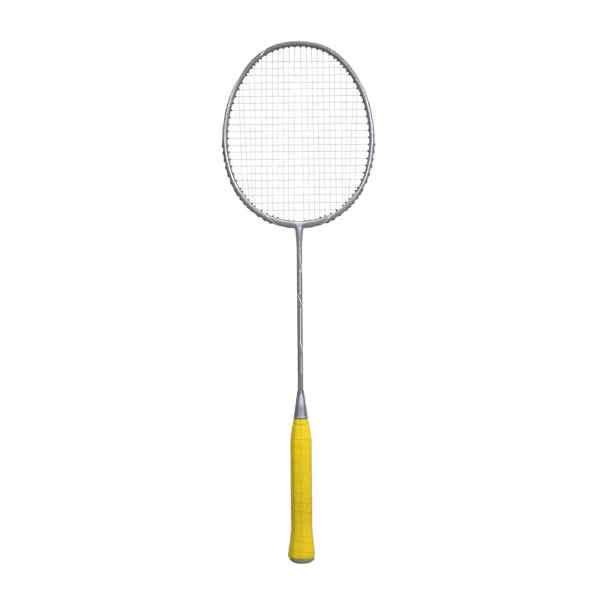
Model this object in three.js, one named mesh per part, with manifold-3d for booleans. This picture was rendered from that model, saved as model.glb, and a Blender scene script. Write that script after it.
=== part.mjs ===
// Badminton racket, strung and gripped, standing on its butt end.
// Millimetres, +Z up along the shaft, X across the head, Y square to the
// string bed, origin at the middle of the butt face.
import * as THREE from 'three';
import { mergeVertices } from 'three/addons/utils/BufferGeometryUtils.js';
import Module from 'manifold-3d';

const wasm = await Module();
wasm.setup();

// ---------- driving dimensions ----------
const GAP = 0.3;                       // clearance between fitted pieces

const HEAD_Z = 556.8;                  // height of the head's centre
// centreline radius of the hoop about the head's centre: cosine series in the
// angle from the top, which gives the square-shouldered oval
const HOOP = [106.1009, -2.5943, 11.5259, 1.1011, 0.0727, 0.2629, -0.3100,
  -0.1366, -0.1686, -0.1096, -0.1308];
const HOOP_W = 7.0;                    // section width in the string plane
const HOOP_W_T = 10.6;                  // the same at the T shoulder
const HOOP_D = 10.4;                   // section depth
const HOOP_STEPS = 64;                 // stations round the hoop
const GROOVE = 1.5;                    // depth of the outer string groove

const NECK_END = 403.0;                // lower end of the moulded neck
const NECK = [                         // [z, half width]
  [403.0, 3.53], [408.1, 3.62], [413.3, 3.76], [418.5, 4.06], [423.7, 4.58],
  [430.0, 5.0], [433.6, 5.3], [435.3, 6.5], [437.4, 9.2], [440.0, 9.2]];

const SHAFT_R = 3.5;
const SHAFT_BORE = 2.5;
const SHAFT_FOOT = 89.0;               // the shaft's lower end, in the wood
const SPIGOT_R = 2.2;
const SPIGOT_END = 372.0;
const TBAR = 24.0;                     // half length of the T insert's bar

const CONE_FOOT = 187.0;
const CONE = [[187.0, 9.35], [191.0, 9.15], [196.2, 8.25], [201.4, 7.6],
  [206.5, 6.75], [211.7, 6.05], [216.9, 5.33], [222.0, 4.6], [225.3, 3.98]];

const TURN = -11.4;                    // turn of the handle's facets, degrees
const GRIP_FOOT = 7.2;
const GRIP_TOP = 186.6;
const GRIP = [                         // [z, corner radius of the octagon]
  [7.2, 16.75], [10.6, 17.65], [14.0, 17.5], [18.5, 16.85], [24.0, 16.2],
  [29.0, 15.45], [37.0, 14.7], [45.0, 14.05], [155.0, 14.03], [160.0, 13.65],
  [165.2, 12.6], [170.3, 11.8], [175.5, 11.25], [180.3, 10.5], [186.6, 9.85]];
const TAPE_FOOT = 180.3;               // finishing tape round the grip's top
const TAPE_T = 0.4;
const OVERGRIP_T = 0.95;
const BASEGRIP_T = 1.6;

const CAP_FLAT = 6.6;                  // radius of the flat butt face
const CAP_TOP = 6.9;

const STRING_R = 0.35;
const WEAVE = 0.95;                    // how far a cross passes in front of or behind a main
const RUN = 0.6;                       // outside runs: mains this far to one side of the groove, crosses to the other

// Eyelets on one side, as angles clockwise from the top of the head, and the
// strings each one carries: [main, cross], 0 for none
const EYELETS = [
  [1.9, 1, 0], [5.8, 2, 0], [9.45, 3, 0], [13.25, 4, 0], [17.35, 5, 0], [22.1, 6, 0],
  [26.1, 7, 0], [29.0, 0, 1], [32.1, 8, 0], [35.1, 0, 2], [38.65, 9, 0], [41.5, 0, 3],
  [47.9, 10, 4], [53.35, 11, 5], [59.35, 0, 6], [65.0, 0, 7], [70.85, 0, 8], [76.9, 0, 9],
  [82.65, 0, 10], [88.35, 0, 11], [94.0, 0, 12], [99.75, 0, 13], [105.1, 0, 14], [110.9, 0, 15],
  [116.15, 0, 16], [121.9, 0, 17], [127.15, 0, 18], [133.25, 0, 19], [135.85, -11, 0], [139.2, 0, 20],
  [143.0, -10, 0], [146.25, -9, 21], [148.85, -8, 0], [154.15, -7, 22], [158.65, -6, 0], [162.5, -5, 0],
  [166.0, -4, 0], [169.6, -3, 0], [173.1, -2, 0], [176.7, -1, 0]];
const SPLAY = { 36: 0.12, 37: 0.17, 38: 0.24, 39: 0.36 };  // slant of the holes beside the neck
const STRIPS = [[0, 5], [6, 11], [12, 17], [18, 23], [24, 29], [30, 35], [36, 39]];

// ---------- colours ----------
const finish = (color, roughness, metalness) =>
  new THREE.MeshStandardMaterial({ color, roughness, metalness });
const FRAME = finish(0x9c9aa6, 0.32, 0.55);
const CARBON = finish(0x8b8a93, 0.3, 0.4);
const CONE_MAT = finish(0x6f7078, 0.4, 0.1);
const YELLOW = finish(0xdcc02a, 0.8, 0.0);
const YELLOW_BAND = finish(0xf0d636, 0.75, 0.0);
const BASE = finish(0x2c2c2e, 0.85, 0.0);
const WOOD = finish(0xb98d5c, 0.7, 0.0);
const CAP = finish(0x7c8277, 0.55, 0.0);
const STEEL = finish(0xb5b6b8, 0.35, 0.9);
const ALLOY = finish(0xa8abb0, 0.4, 0.9);
const EYELET = finish(0x55565c, 0.6, 0.0);
const STRING = finish(0xf0efec, 0.4, 0.0);

// ---------- solids ----------
function toSolid(geometry) {
  const bare = new THREE.BufferGeometry();
  bare.setAttribute('position', geometry.getAttribute('position').clone());
  if (geometry.index) bare.setIndex(geometry.index.clone());
  const merged = mergeVertices(bare, 1e-4);
  const p = merged.getAttribute('position').array;
  const index = merged.index.array;
  const tris = [];
  let volume = 0;
  for (let i = 0; i < index.length; i += 3) {
    const [a, b, c] = [index[i], index[i + 1], index[i + 2]];
    if (a === b || b === c || a === c) continue;
    tris.push(a, b, c);
    const [ax, ay, az] = [p[3 * a], p[3 * a + 1], p[3 * a + 2]];
    const [bx, by, bz] = [p[3 * b], p[3 * b + 1], p[3 * b + 2]];
    const [cx, cy, cz] = [p[3 * c], p[3 * c + 1], p[3 * c + 2]];
    volume += ax * (by * cz - bz * cy) + ay * (bz * cx - bx * cz) + az * (bx * cy - by * cx);
  }
  if (volume < 0) for (let i = 0; i < tris.length; i += 3) [tris[i], tris[i + 1]] = [tris[i + 1], tris[i]];
  return new wasm.Manifold(new wasm.Mesh({
    numProp: 3, vertProperties: Float32Array.from(p), triVerts: Uint32Array.from(tris) }));
}

function toGeometry(solid) {
  const mesh = solid.getMesh();
  const geometry = new THREE.BufferGeometry();
  geometry.setAttribute('position', new THREE.BufferAttribute(new Float32Array(mesh.vertProperties), 3));
  geometry.setIndex(new THREE.BufferAttribute(new Uint32Array(mesh.triVerts), 1));
  geometry.computeVertexNormals();
  return geometry;
}

const group = new THREE.Group();
function piece(name, solid, material) {
  const mesh = new THREE.Mesh(toGeometry(solid), material);
  mesh.name = name;
  group.add(mesh);
}

function lathe(profile, segments, phi = 0) {       // profile as [z, r]
  const geometry = new THREE.LatheGeometry(
    profile.map(([z, r]) => new THREE.Vector2(r, z)), segments, phi);
  geometry.rotateX(Math.PI / 2);
  return geometry;
}

function cylinder(radius, z0, z1, sides) {
  const geometry = new THREE.CylinderGeometry(radius, radius, z1 - z0, sides);
  geometry.rotateX(Math.PI / 2);
  geometry.translate(0, 0, (z0 + z1) / 2);
  return toSolid(geometry);
}

// ---------- hoop centreline ----------
const rad = (a) => a * Math.PI / 180;
const smooth = (a, b, x) => { const u = Math.min(1, Math.max(0, (x - a) / (b - a))); return u * u * (3 - 2 * u); };
function centre(t) {
  let r = 0;
  HOOP.forEach((c, n) => { r += c * Math.cos(n * t); });
  return [r * Math.sin(t), HEAD_Z + r * Math.cos(t)];
}
function station(t) {                   // point, unit tangent (t rising), unit outward normal
  const e = 1e-4;
  const [x, z] = centre(t);
  const [x1, z1] = centre(t + e);
  const [x0, z0] = centre(t - e);
  const l = Math.hypot(x1 - x0, z1 - z0);
  const tx = (x1 - x0) / l;
  const tz = (z1 - z0) / l;
  return { x, z, tx, tz, nx: -tz, nz: tx };
}
const half = (t) => {                   // half the section's width at t
  const d = Math.abs(t) * 180 / Math.PI;
  return (HOOP_W + (HOOP_W_T - HOOP_W) * smooth(146, 180, d > 180 ? 360 - d : d)) / 2;
};
function ring(t, n, y) {
  const s = station(t);
  return new THREE.Vector3(s.x + s.nx * n, y, s.z + s.nz * n);
}
// stations at even distances along half of the hoop
const LENGTHS = [0];
for (let i = 1; i <= 1800; i++) {
  const [x, z] = centre(rad(i / 10));
  const [x0, z0] = centre(rad((i - 1) / 10));
  LENGTHS.push(LENGTHS[i - 1] + Math.hypot(x - x0, z - z0));
}
function atLength(s) {
  let i = 1;
  while (i < 1800 && LENGTHS[i] < s) i++;
  return rad((i - 1 + (s - LENGTHS[i - 1]) / (LENGTHS[i] - LENGTHS[i - 1])) / 10);
}
const HALF_LENGTH = LENGTHS[1800];
const lengthAt = (t) => {
  const d = Math.min(1799.999, Math.max(0, t * 1800 / Math.PI));
  const i = Math.floor(d);
  return LENGTHS[i] + (d - i) * (LENGTHS[i + 1] - LENGTHS[i]);
};

// closed ring of sections, on a torus's own grid
function closedRing(stations, sides, place) {
  const geometry = new THREE.TorusGeometry(10, 1, sides, stations);
  const p = geometry.getAttribute('position');
  for (let j = 0; j <= sides; j++) {
    for (let i = 0; i <= stations; i++) {
      const v = place(i % stations, j % sides);
      p.setXYZ(j * (stations + 1) + i, v.x, v.y, v.z);
    }
  }
  return geometry;
}

// a path with a stated frame at each of its points, for extrusion along it
class RoutedPath extends THREE.Curve {
  constructor(points, across) {         // across: the section's first axis, or null to keep it square to Y
    super();
    this.points = points;
    this.across = across;
  }
  getPoint(u, target = new THREE.Vector3()) {
    const f = u * (this.points.length - 1);
    const i = Math.min(this.points.length - 2, Math.floor(f));
    return target.copy(this.points[i]).lerp(this.points[i + 1], f - i);
  }
  getSpacedPoints() { return this.points.map((p) => p.clone()); }
  computeFrenetFrames() {
    const q = this.points;
    const tangents = [];
    const normals = [];
    const binormals = [];
    for (let i = 0; i < q.length; i++) {
      const a = q[i].clone().sub(q[Math.max(0, i - 1)]).normalize();
      const b = q[Math.min(q.length - 1, i + 1)].clone().sub(q[i]).normalize();
      const t = a.clone().add(b).normalize();
      const y = new THREE.Vector3(0, 1, 0).addScaledVector(t, -t.y).normalize();
      const n = this.across ? this.across[i].clone() : new THREE.Vector3().crossVectors(y, t);
      if (!this.across && i > 0 && i < q.length - 1) {
        n.multiplyScalar(Math.min(1.3, 1 / Math.max(0.5, b.dot(t))));
      }
      tangents.push(t);
      normals.push(n);
      binormals.push(y);
    }
    return { tangents, normals, binormals };
  }
}

function sweep(points, section, across = null) {
  const shape = new THREE.Shape(section.map(([a, b]) => new THREE.Vector2(a, b)));
  return new THREE.ExtrudeGeometry(shape, {
    steps: points.length - 1, bevelEnabled: false, extrudePath: new RoutedPath(points, across) });
}

// bar that follows the hoop from t0 to t1, between n0 and n1 across it and within y of its middle
function hoopBar(t0, t1, n0, n1, y, steps) {
  const points = [];
  const across = [];
  for (let i = 0; i <= steps; i++) {
    const t = t0 + (t1 - t0) * i / steps;
    const s = station(t);
    const w = half(t);
    points.push(new THREE.Vector3(s.x + s.nx * w, 0, s.z + s.nz * w));
    across.push(new THREE.Vector3(s.nx, 0, s.nz));
  }
  return toSolid(sweep(points, [[n0, -y], [n1, -y], [n1, y], [n0, y]], across));
}

// ---------- eyelet positions ----------
function eyelet([angle, main, cross], k) {
  const goal = rad(angle);
  const make = (t) => {
    const s = station(t);
    const splay = SPLAY[k] || 0;
    const l = Math.hypot(1, splay);
    const dx = (s.nx - s.tx * splay) / l;
    const dz = (s.nz - s.tz * splay) / l;
    return { t, s, dx, dz, w: half(t), scale: l };
  };
  const at = (h, n, y) => new THREE.Vector3(
    h.s.x + h.dx * n * h.scale, y, h.s.z + h.dz * n * h.scale);
  let lo = goal - 0.12;
  let hi = goal + 0.12;
  for (let i = 0; i < 50; i++) {
    const mid = (lo + hi) / 2;
    const h = make(mid);
    const p = at(h, -h.w - 0.7, 0);
    if (Math.atan2(p.x, p.z - HEAD_Z) < goal) lo = mid; else hi = mid;
  }
  const h = make((lo + hi) / 2);
  h.at = (n, y) => at(h, n, y);
  h.shared = main !== 0 && cross !== 0;
  const out = h.at(h.w, 0);             // where its axis leaves the hoop
  const angleOut = Math.atan2(out.x, out.z - HEAD_Z);
  lo = h.t - 0.2;
  hi = h.t + 0.2;
  for (let i = 0; i < 50; i++) {
    const mid = (lo + hi) / 2;
    const p = ring(mid, half(mid), 0);
    if (Math.atan2(p.x, p.z - HEAD_Z) < angleOut) lo = mid; else hi = mid;
  }
  h.out = (lo + hi) / 2;
  return h;
}
const HOLES = EYELETS.map(eyelet);
const side = (v, s) => new THREE.Vector3(v.x * s, v.y, v.z);

// straight drill along an eyelet's axis from depth n0 to n1
function drill(h, s, radius, n0, n1, sides = 6) {
  const geometry = new THREE.CylinderGeometry(radius, radius, (n1 - n0) * h.scale, sides);
  const d = new THREE.Vector3(h.dx * s, 0, h.dz);
  const y = new THREE.Vector3(0, 1, 0);
  const x = new THREE.Vector3().crossVectors(d, y);
  geometry.applyMatrix4(new THREE.Matrix4().makeBasis(x, d, y));
  const mid = side(h.at((n0 + n1) / 2, 0), s);
  geometry.translate(mid.x, mid.y, mid.z);
  return toSolid(geometry);
}

// ---------- frame ----------
// section of the hoop, as [across, depth], outer side first; w is its half width
function hoopSection(w) {
  const d = HOOP_D / 2;
  return [
    [w - GROOVE, 1.4], [w, 1.9], [0.84 * w, 0.68 * d], [0.35 * w, 0.97 * d],
    [-0.35 * w, 0.97 * d], [-0.84 * w, 0.70 * d], [-w, 0.28 * d],
    [-w, -0.28 * d], [-0.84 * w, -0.70 * d], [-0.35 * w, -0.97 * d],
    [0.35 * w, -0.97 * d], [0.84 * w, -0.68 * d], [w, -1.9], [w - GROOVE, -1.4]];
}
const T_STATIONS = [];
for (let i = 0; i < HOOP_STEPS; i++) {
  const j = i <= HOOP_STEPS / 2 ? i : i - HOOP_STEPS;
  T_STATIONS.push(Math.sign(j) * atLength(Math.abs(j) * HALF_LENGTH / (HOOP_STEPS / 2)));
}
let frame = toSolid(closedRing(HOOP_STEPS, 14, (i, j) => {
  const t = T_STATIONS[i];
  const [n, y] = hoopSection(half(t))[j];
  return ring(t, n, y);
}));
const neckProfile = [[NECK_END, 0], ...NECK, [440, 0]];
const neckGeometry = lathe(neckProfile, 20);
{
  const p = neckGeometry.getAttribute('position');
  for (let i = 0; i < p.count; i++) {
    const r = Math.hypot(p.getX(i), p.getY(i));
    if (r > 4.9) p.setY(i, p.getY(i) * 4.9 / r);
  }
}
frame = frame.add(toSolid(neckGeometry));
const tSpan = TBAR / 118;
const drills = [];
for (const s of [1, -1]) {
  for (const h of HOLES) drills.push(drill(h, s, h.shared ? 1.72 : 1.4, -h.w - 2, h.w + 2));
}
const pocket = hoopBar(Math.PI - tSpan - 0.0026, Math.PI + tSpan + 0.0026,
  -HOOP_W_T / 2 - 2.1 - GAP, -HOOP_W_T / 2 + 2.1 + GAP, 3.2 + GAP, 12);
frame = frame.subtract(wasm.Manifold.union([...drills, pocket,
  cylinder(SHAFT_BORE, NECK_END - 5, 438, 12)]));
piece('frame_hoop', frame, FRAME);

// ---------- T insert and shaft ----------
let insert = hoopBar(Math.PI - tSpan, Math.PI + tSpan,
  -HOOP_W_T / 2 - 2.1, -HOOP_W_T / 2 + 2.1, 3.2, 12);
insert = insert.add(cylinder(SPIGOT_R, SPIGOT_END, 438, 12));
const clearances = [];
for (const s of [1, -1]) for (const k of [37, 38, 39]) clearances.push(drill(HOLES[k], s, 1.5, -9, 9));
piece('t_joint', insert.subtract(wasm.Manifold.union(clearances)), ALLOY);

piece('shaft', cylinder(SHAFT_R, SHAFT_FOOT, NECK_END - GAP, 20)
  .subtract(cylinder(SHAFT_BORE, SHAFT_FOOT - 5, NECK_END + 5, 12)), CARBON);

// ---------- cone ----------
const coneInside = [[186, 7.25], [191.0, 7.25], [196.2, 6.95], [201.4, 6.3], [206.8, 5.5], [208.6, 3.8], [230, 3.8]];
piece('cone_cap', toSolid(lathe([[CONE_FOOT, 0], ...CONE, [225.3, 0]], 18))
  .subtract(toSolid(lathe([[186, 0], ...coneInside, [230, 0]], 18))), CONE_MAT);

// ---------- handle ----------
function octagon(profile) {             // profile as [z, corner radius], turned with the handle
  const geometry = lathe(profile, 8, rad(22.5));
  const p = geometry.getAttribute('position');
  for (let i = 0; i < p.count; i++) {
    if (Math.abs(p.getX(i)) < Math.abs(p.getY(i))) p.setX(i, p.getX(i) * 1.1);
  }
  geometry.rotateZ(rad(TURN));
  return toSolid(geometry);
}
const closed = (profile) => [[profile[0][0], 0], ...profile, [profile[profile.length - 1][0], 0]];
const inset = (profile, d, z0, z1) => {
  const f = (z) => {
    let i = 1;
    while (i < profile.length - 1 && profile[i][0] < z) i++;
    const [za, ra] = profile[i - 1];
    const [zb, rb] = profile[i];
    return ra + (rb - ra) * (z - za) / (zb - za);
  };
  const inner = profile.filter(([z]) => z > z0 + 0.5 && z < z1 - 0.5).map(([z, r]) => [z, r - d]);
  return [[z0, f(Math.max(z0, profile[0][0])) - d], ...inner, [z1, f(Math.min(z1, profile[profile.length - 1][0])) - d]];
};
const CORNER = 1 / Math.cos(rad(22.5)); // wall thickness to corner radius
const tapeIn = TAPE_T * CORNER;
const gripGap = GAP * CORNER;
// the overgrip steps in under the tape
const overOut = inset(GRIP, 0, GRIP_FOOT, TAPE_FOOT - GAP)
  .concat([[TAPE_FOOT - GAP + 0.01, GRIP[13][1] - tapeIn - gripGap], [GRIP_TOP, GRIP[14][1] - tapeIn - gripGap]]);
const inner1 = OVERGRIP_T * CORNER;
const overIn = (d, z0, z1) => inset(GRIP, d, z0, z1);
piece('overgrip', octagon(closed(overOut))
  .subtract(octagon(closed(overIn(inner1, GRIP_FOOT - 1, GRIP_TOP + 1)))), YELLOW);
piece('finishing_tape', octagon(closed(inset(GRIP, 0, TAPE_FOOT, GRIP_TOP)))
  .subtract(octagon(closed(overIn(tapeIn, TAPE_FOOT - 1, GRIP_TOP + 1)))), YELLOW_BAND);

const baseOutR = inner1 + gripGap;
const baseInR = baseOutR + BASEGRIP_T * CORNER;
const coreR = baseInR + gripGap;
let base = octagon(closed(overIn(baseOutR, GRIP_FOOT + 0.3, GRIP_TOP - 0.3)))
  .subtract(octagon(closed(overIn(baseInR, GRIP_FOOT - 1, GRIP_TOP + 1))));
let core = octagon(closed([...overIn(coreR, GRIP_FOOT + 0.3, 184.0), [191.0, 6.75], [196.2, 6.4],
  [201.4, 5.75], [205.8, 5.1]]))
  .subtract(cylinder(SHAFT_R + GAP, SHAFT_FOOT - 1, 215, 16))
  .subtract(cylinder(5.3, 0, 15.2, 16));

// staple across the back of the handle near the butt
const STAPLE_Z = 20;
const legs = new THREE.Shape([[-3.6, 7.6], [-3.6, 14.05], [3.6, 14.05], [3.6, 7.6], [3.0, 7.6],
  [3.0, 13.45], [-3.0, 13.45], [-3.0, 7.6]].map(([a, b]) => new THREE.Vector2(a, b)));
const stapleGeometry = new THREE.ExtrudeGeometry(legs, { depth: 0.7, bevelEnabled: false });
stapleGeometry.translate(0, 0, STAPLE_Z - 0.35);
stapleGeometry.rotateZ(rad(TURN));
const boxAt = (w, d, h, x, y, z) => {
  const g = new THREE.BoxGeometry(w, d, h);
  g.translate(x, y, z);
  g.rotateZ(rad(TURN));
  return toSolid(g);
};
const slots = wasm.Manifold.union([
  boxAt(7.8, 1.8, 1.3, 0, 14.05, STAPLE_Z),
  boxAt(1.2, 6.9, 1.3, -3.3, 10.7, STAPLE_Z),
  boxAt(1.2, 6.9, 1.3, 3.3, 10.7, STAPLE_Z)]);
piece('grip_staple', toSolid(stapleGeometry), STEEL);
piece('base_grip', base.subtract(slots), BASE);
piece('handle_core', core.subtract(slots), WOOD);

piece('butt_cap', toSolid(lathe([[0, 0], [0, CAP_FLAT], [0.35, 9.4], [1.25, 11.9], [2.4, 13.65],
  [3.6, 15.05], [4.8, 15.95], [CAP_TOP, 16.35], [CAP_TOP, 5.0], [14.6, 5.0], [14.6, 0]], 24)), CAP);

// ---------- grommet strips ----------
STRIPS.forEach(([first, last], i) => {
  for (const s of [1, -1]) {
    const ta = HOLES[first].out - 1.6 / 110;
    const tb = HOLES[last].out + 1.6 / 110;
    const steps = Math.ceil((lengthAt(tb) - lengthAt(ta)) / 8);
    const a = s > 0 ? ta : -tb;
    const b = s > 0 ? tb : -ta;
    const band = hoopBar(a, b, -1.2, -0.75, 1.1, steps);
    const barrels = [];
    const bores = [];
    for (let k = first; k <= last; k++) {
      const h = HOLES[k];
      barrels.push(drill(h, s, h.shared ? 1.4 : 1.08, -h.w - 0.7, h.w - 0.78));
      bores.push(drill(h, s, h.shared ? 1.08 : 0.85, -h.w - 3, h.w + 3, h.shared ? 6 : 4));
    }
    piece(`grommets_${s > 0 ? 'right' : 'left'}_${i + 1}`,
      wasm.Manifold.union([band, ...barrels]).subtract(wasm.Manifold.union(bores)), EYELET);
  }
});

// ---------- strings ----------
const outLevel = (t) => {               // height of an outside run over the hoop's middle line
  const d = Math.abs(t) * 180 / Math.PI;
  return half(t) - 0.2 + 0.45 * smooth(92, 98, d) * (1 - smooth(160, 165, d));
};
const mainTop = {};
const mainFoot = {};
const crossEnd = {};
EYELETS.forEach(([, main, cross], k) => {
  if (main > 0) mainTop[main] = k;
  if (main < 0) mainFoot[-main] = k;
  if (cross) crossEnd[cross] = k;
});
// points from inside an eyelet out into the groove, heading along +t (way 1) or -t (way -1)
function leave(k, way, y) {
  const h = HOLES[k];
  const yIn = h.shared ? Math.sign(y) * 0.4 : 0;
  const level = outLevel(h.out);
  const r = 112;
  return [
    h.at(-h.w - 0.9, yIn), h.at(h.w - 1.1, yIn),
    ring(h.out + way * 0.3 / r, level - 0.3, (y + yIn) / 2),
    ring(h.out + way * 1.1 / r, level, y)];
}
function outside(k0, k1, y) {           // the run between two eyelets, k0 to k1 in the order of travel
  const t0 = HOLES[k0].out;
  const t1 = HOLES[k1].out;
  const n = Math.ceil(Math.abs(lengthAt(t1) - lengthAt(t0)) / 9);
  const points = [];
  for (let i = 1; i < n; i++) points.push(ring(t0 + (t1 - t0) * i / n, outLevel(t0 + (t1 - t0) * i / n), y));
  return points;
}
const inner = (k, s) => { const p = HOLES[k].at(-HOLES[k].w - 0.9, 0); return new THREE.Vector3(s * p.x, 0, p.z); };
// where cross c meets the mains, from side -s to side s, passing each one on the other face
function weave(c, s) {
  const z = inner(crossEnd[c], 1).z;
  const end = inner(crossEnd[c], 1).x;
  const points = [];
  for (let m = 1; m <= 11; m++) {
    const top = inner(mainTop[m], 1);
    const foot = inner(mainFoot[m], 1);
    if (z > top.z - 0.8 || z < foot.z + 0.8) continue;
    const x = foot.x + (top.x - foot.x) * (z - foot.z) / (top.z - foot.z);
    if (x > end - 1) continue;
    points.push(new THREE.Vector3(x, (m + c) % 2 ? WEAVE : -WEAVE, z));
    points.push(new THREE.Vector3(-x, (m + c) % 2 ? -WEAVE : WEAVE, z));
  }
  return points.sort((a, b) => s * (a.x - b.x));
}
// a main that shares its eyelet comes back to the middle plane just inside the hoop
const settle = (a, b) => (a.y === 0 ? [] : [a.clone().lerp(b, 3.5 / a.distanceTo(b)).setY(0)]);
const diamond = [[STRING_R, 0], [0, STRING_R], [-STRING_R, 0], [0, -STRING_R]];

// mains: from the top middle out to the last main on one side, then its mirror image
const rightMains = [ring(0, outLevel(0), RUN)];
for (let m = 1; m <= 11; m++) {
  const down = m % 2 === 1;
  const kIn = down ? mainTop[m] : mainFoot[m];
  const kOut = down ? mainFoot[m] : mainTop[m];
  // it comes in heading away from the previous main and leaves towards the next
  const enter = leave(kIn, down ? -1 : 1, RUN).reverse();
  const go = leave(kOut, down ? -1 : 1, RUN);
  rightMains.push(...enter, ...settle(enter[3], go[0]), ...settle(go[0], enter[3]), ...go);
  if (m < 11) rightMains.push(...outside(kOut, down ? mainFoot[m + 1] : mainTop[m + 1], RUN));
}
const mainTail = HOLES[mainFoot[11]];
rightMains.push(ring(mainTail.out - 4.5 / 112, outLevel(mainTail.out), RUN));
const mains = rightMains.slice(1).map((v) => side(v, -1)).reverse().concat(rightMains);
piece('main_string', toSolid(sweep(mains, diamond)), STRING);

// crosses: side to side from the top down
const crosses = [];
for (let c = 1; c <= 22; c++) {
  const s = c % 2 === 1 ? 1 : -1;       // the side it ends on
  const k = crossEnd[c];
  const enter = leave(k, -1, -RUN).map((v) => side(v, -s)).reverse();
  const go = leave(k, 1, -RUN).map((v) => side(v, s));
  if (c === 1) crosses.push(side(ring(HOLES[k].out - 4.5 / 112, outLevel(HOLES[k].out), -RUN), -s));
  crosses.push(...enter, ...weave(c, s), ...go);
  if (c < 22) crosses.push(...outside(k, crossEnd[c + 1], -RUN).map((v) => side(v, s)));
  else crosses.push(side(ring(HOLES[k].out + 4.5 / 112, outLevel(HOLES[k].out), -RUN), s));
}
piece('cross_string', toSolid(sweep(crosses, diamond)), STRING);

export default group;
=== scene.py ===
import math

import bmesh
import bpy
import numpy as np
from mathutils import Matrix, Vector


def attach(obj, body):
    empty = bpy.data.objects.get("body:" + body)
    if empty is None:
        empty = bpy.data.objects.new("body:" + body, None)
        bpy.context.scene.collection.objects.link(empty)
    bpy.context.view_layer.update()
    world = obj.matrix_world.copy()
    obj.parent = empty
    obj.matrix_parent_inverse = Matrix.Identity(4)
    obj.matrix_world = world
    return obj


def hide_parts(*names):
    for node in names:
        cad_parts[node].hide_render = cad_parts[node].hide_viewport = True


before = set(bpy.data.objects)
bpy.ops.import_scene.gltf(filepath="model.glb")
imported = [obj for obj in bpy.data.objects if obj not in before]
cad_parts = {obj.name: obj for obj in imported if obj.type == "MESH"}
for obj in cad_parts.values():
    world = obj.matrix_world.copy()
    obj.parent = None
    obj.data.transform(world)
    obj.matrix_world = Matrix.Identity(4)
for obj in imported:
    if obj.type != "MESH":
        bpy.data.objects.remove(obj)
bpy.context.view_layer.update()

MM = 0.001
rng = np.random.default_rng(11)


# ---------------------------------------------------------------- camera
def make_camera():
    data = bpy.data.cameras.new("camera")
    cam = bpy.data.objects.new("camera", data)
    bpy.context.scene.collection.objects.link(cam)
    roll = math.radians(0.49)
    c, s = math.cos(roll), math.sin(roll)
    m = Matrix(((c, s, 0, 0.00028), (0, 0, -1, -1.9), (-s, c, 0, 0.3404), (0, 0, 0, 1)))
    cam.matrix_world = m
    data.sensor_width = 36.0
    data.lens = 88.02
    data.clip_start = 0.01
    data.clip_end = 100
    bpy.context.scene.camera = cam
    return cam


make_camera()

# ---------------------------------------------------------------- the racket's curves, as in the CAD part (mm)
HEAD_Z = 556.8
HOOP = np.array([106.1009, -2.5943, 11.5259, 1.1011, 0.0727, 0.2629, -0.3100,
                 -0.1366, -0.1686, -0.1096, -0.1308])
HOOP_D = 10.4
GROOVE = 1.5
NECK = [(403.0, 3.53), (408.1, 3.62), (413.3, 3.76), (418.5, 4.06), (423.7, 4.58),
        (428.6, 4.95), (431.4, 5.35), (433.4, 6.1), (434.9, 7.5), (436.1, 9.6), (437.2, 12.6)]
SHAFT_R = 3.5
CONE = [(187.0, 9.35), (191.0, 9.15), (196.2, 8.25), (201.4, 7.6), (206.5, 6.75),
        (211.7, 6.05), (216.9, 5.33), (222.0, 4.6), (225.3, 3.98)]
TURN = math.radians(-11.4)
GRIP = [(7.2, 16.75), (10.6, 17.65), (14.0, 17.5), (18.5, 16.85), (24.0, 16.2),
        (29.0, 15.45), (37.0, 14.7), (45.0, 14.05), (155.0, 14.03), (160.0, 13.65),
        (165.2, 12.6), (170.3, 11.8), (175.5, 11.25), (180.3, 10.5), (186.6, 9.85)]
CAP = [(0.0, 6.6), (0.35, 9.4), (1.25, 11.9), (2.4, 13.65), (3.6, 15.05), (4.8, 15.95), (6.9, 16.35)]
EYELETS = [
    (1.9, 1, 0), (5.8, 2, 0), (9.45, 3, 0), (13.25, 4, 0), (17.35, 5, 0), (22.1, 6, 0),
    (26.1, 7, 0), (29.0, 0, 1), (32.1, 8, 0), (35.1, 0, 2), (38.65, 9, 0), (41.5, 0, 3),
    (47.9, 10, 4), (53.35, 11, 5), (59.35, 0, 6), (65.0, 0, 7), (70.85, 0, 8), (76.9, 0, 9),
    (82.65, 0, 10), (88.35, 0, 11), (94.0, 0, 12), (99.75, 0, 13), (105.1, 0, 14), (110.9, 0, 15),
    (116.15, 0, 16), (121.9, 0, 17), (127.15, 0, 18), (133.25, 0, 19), (135.85, -11, 0), (139.2, 0, 20),
    (143.0, -10, 0), (146.25, -9, 21), (148.85, -8, 0), (154.15, -7, 22), (158.65, -6, 0), (162.5, -5, 0),
    (166.0, -4, 0), (169.6, -3, 0), (173.1, -2, 0), (176.7, -1, 0)]
SPLAY = {36: 0.12, 37: 0.17, 38: 0.24, 39: 0.36}
STRIPS = [(0, 5), (6, 11), (12, 17), (18, 23), (24, 29), (30, 35), (36, 39)]
STRING_R = 0.35


def sstep(a, b, x):
    u = np.clip((x - a) / (b - a), 0, 1)
    return u * u * (3 - 2 * u)


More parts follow.
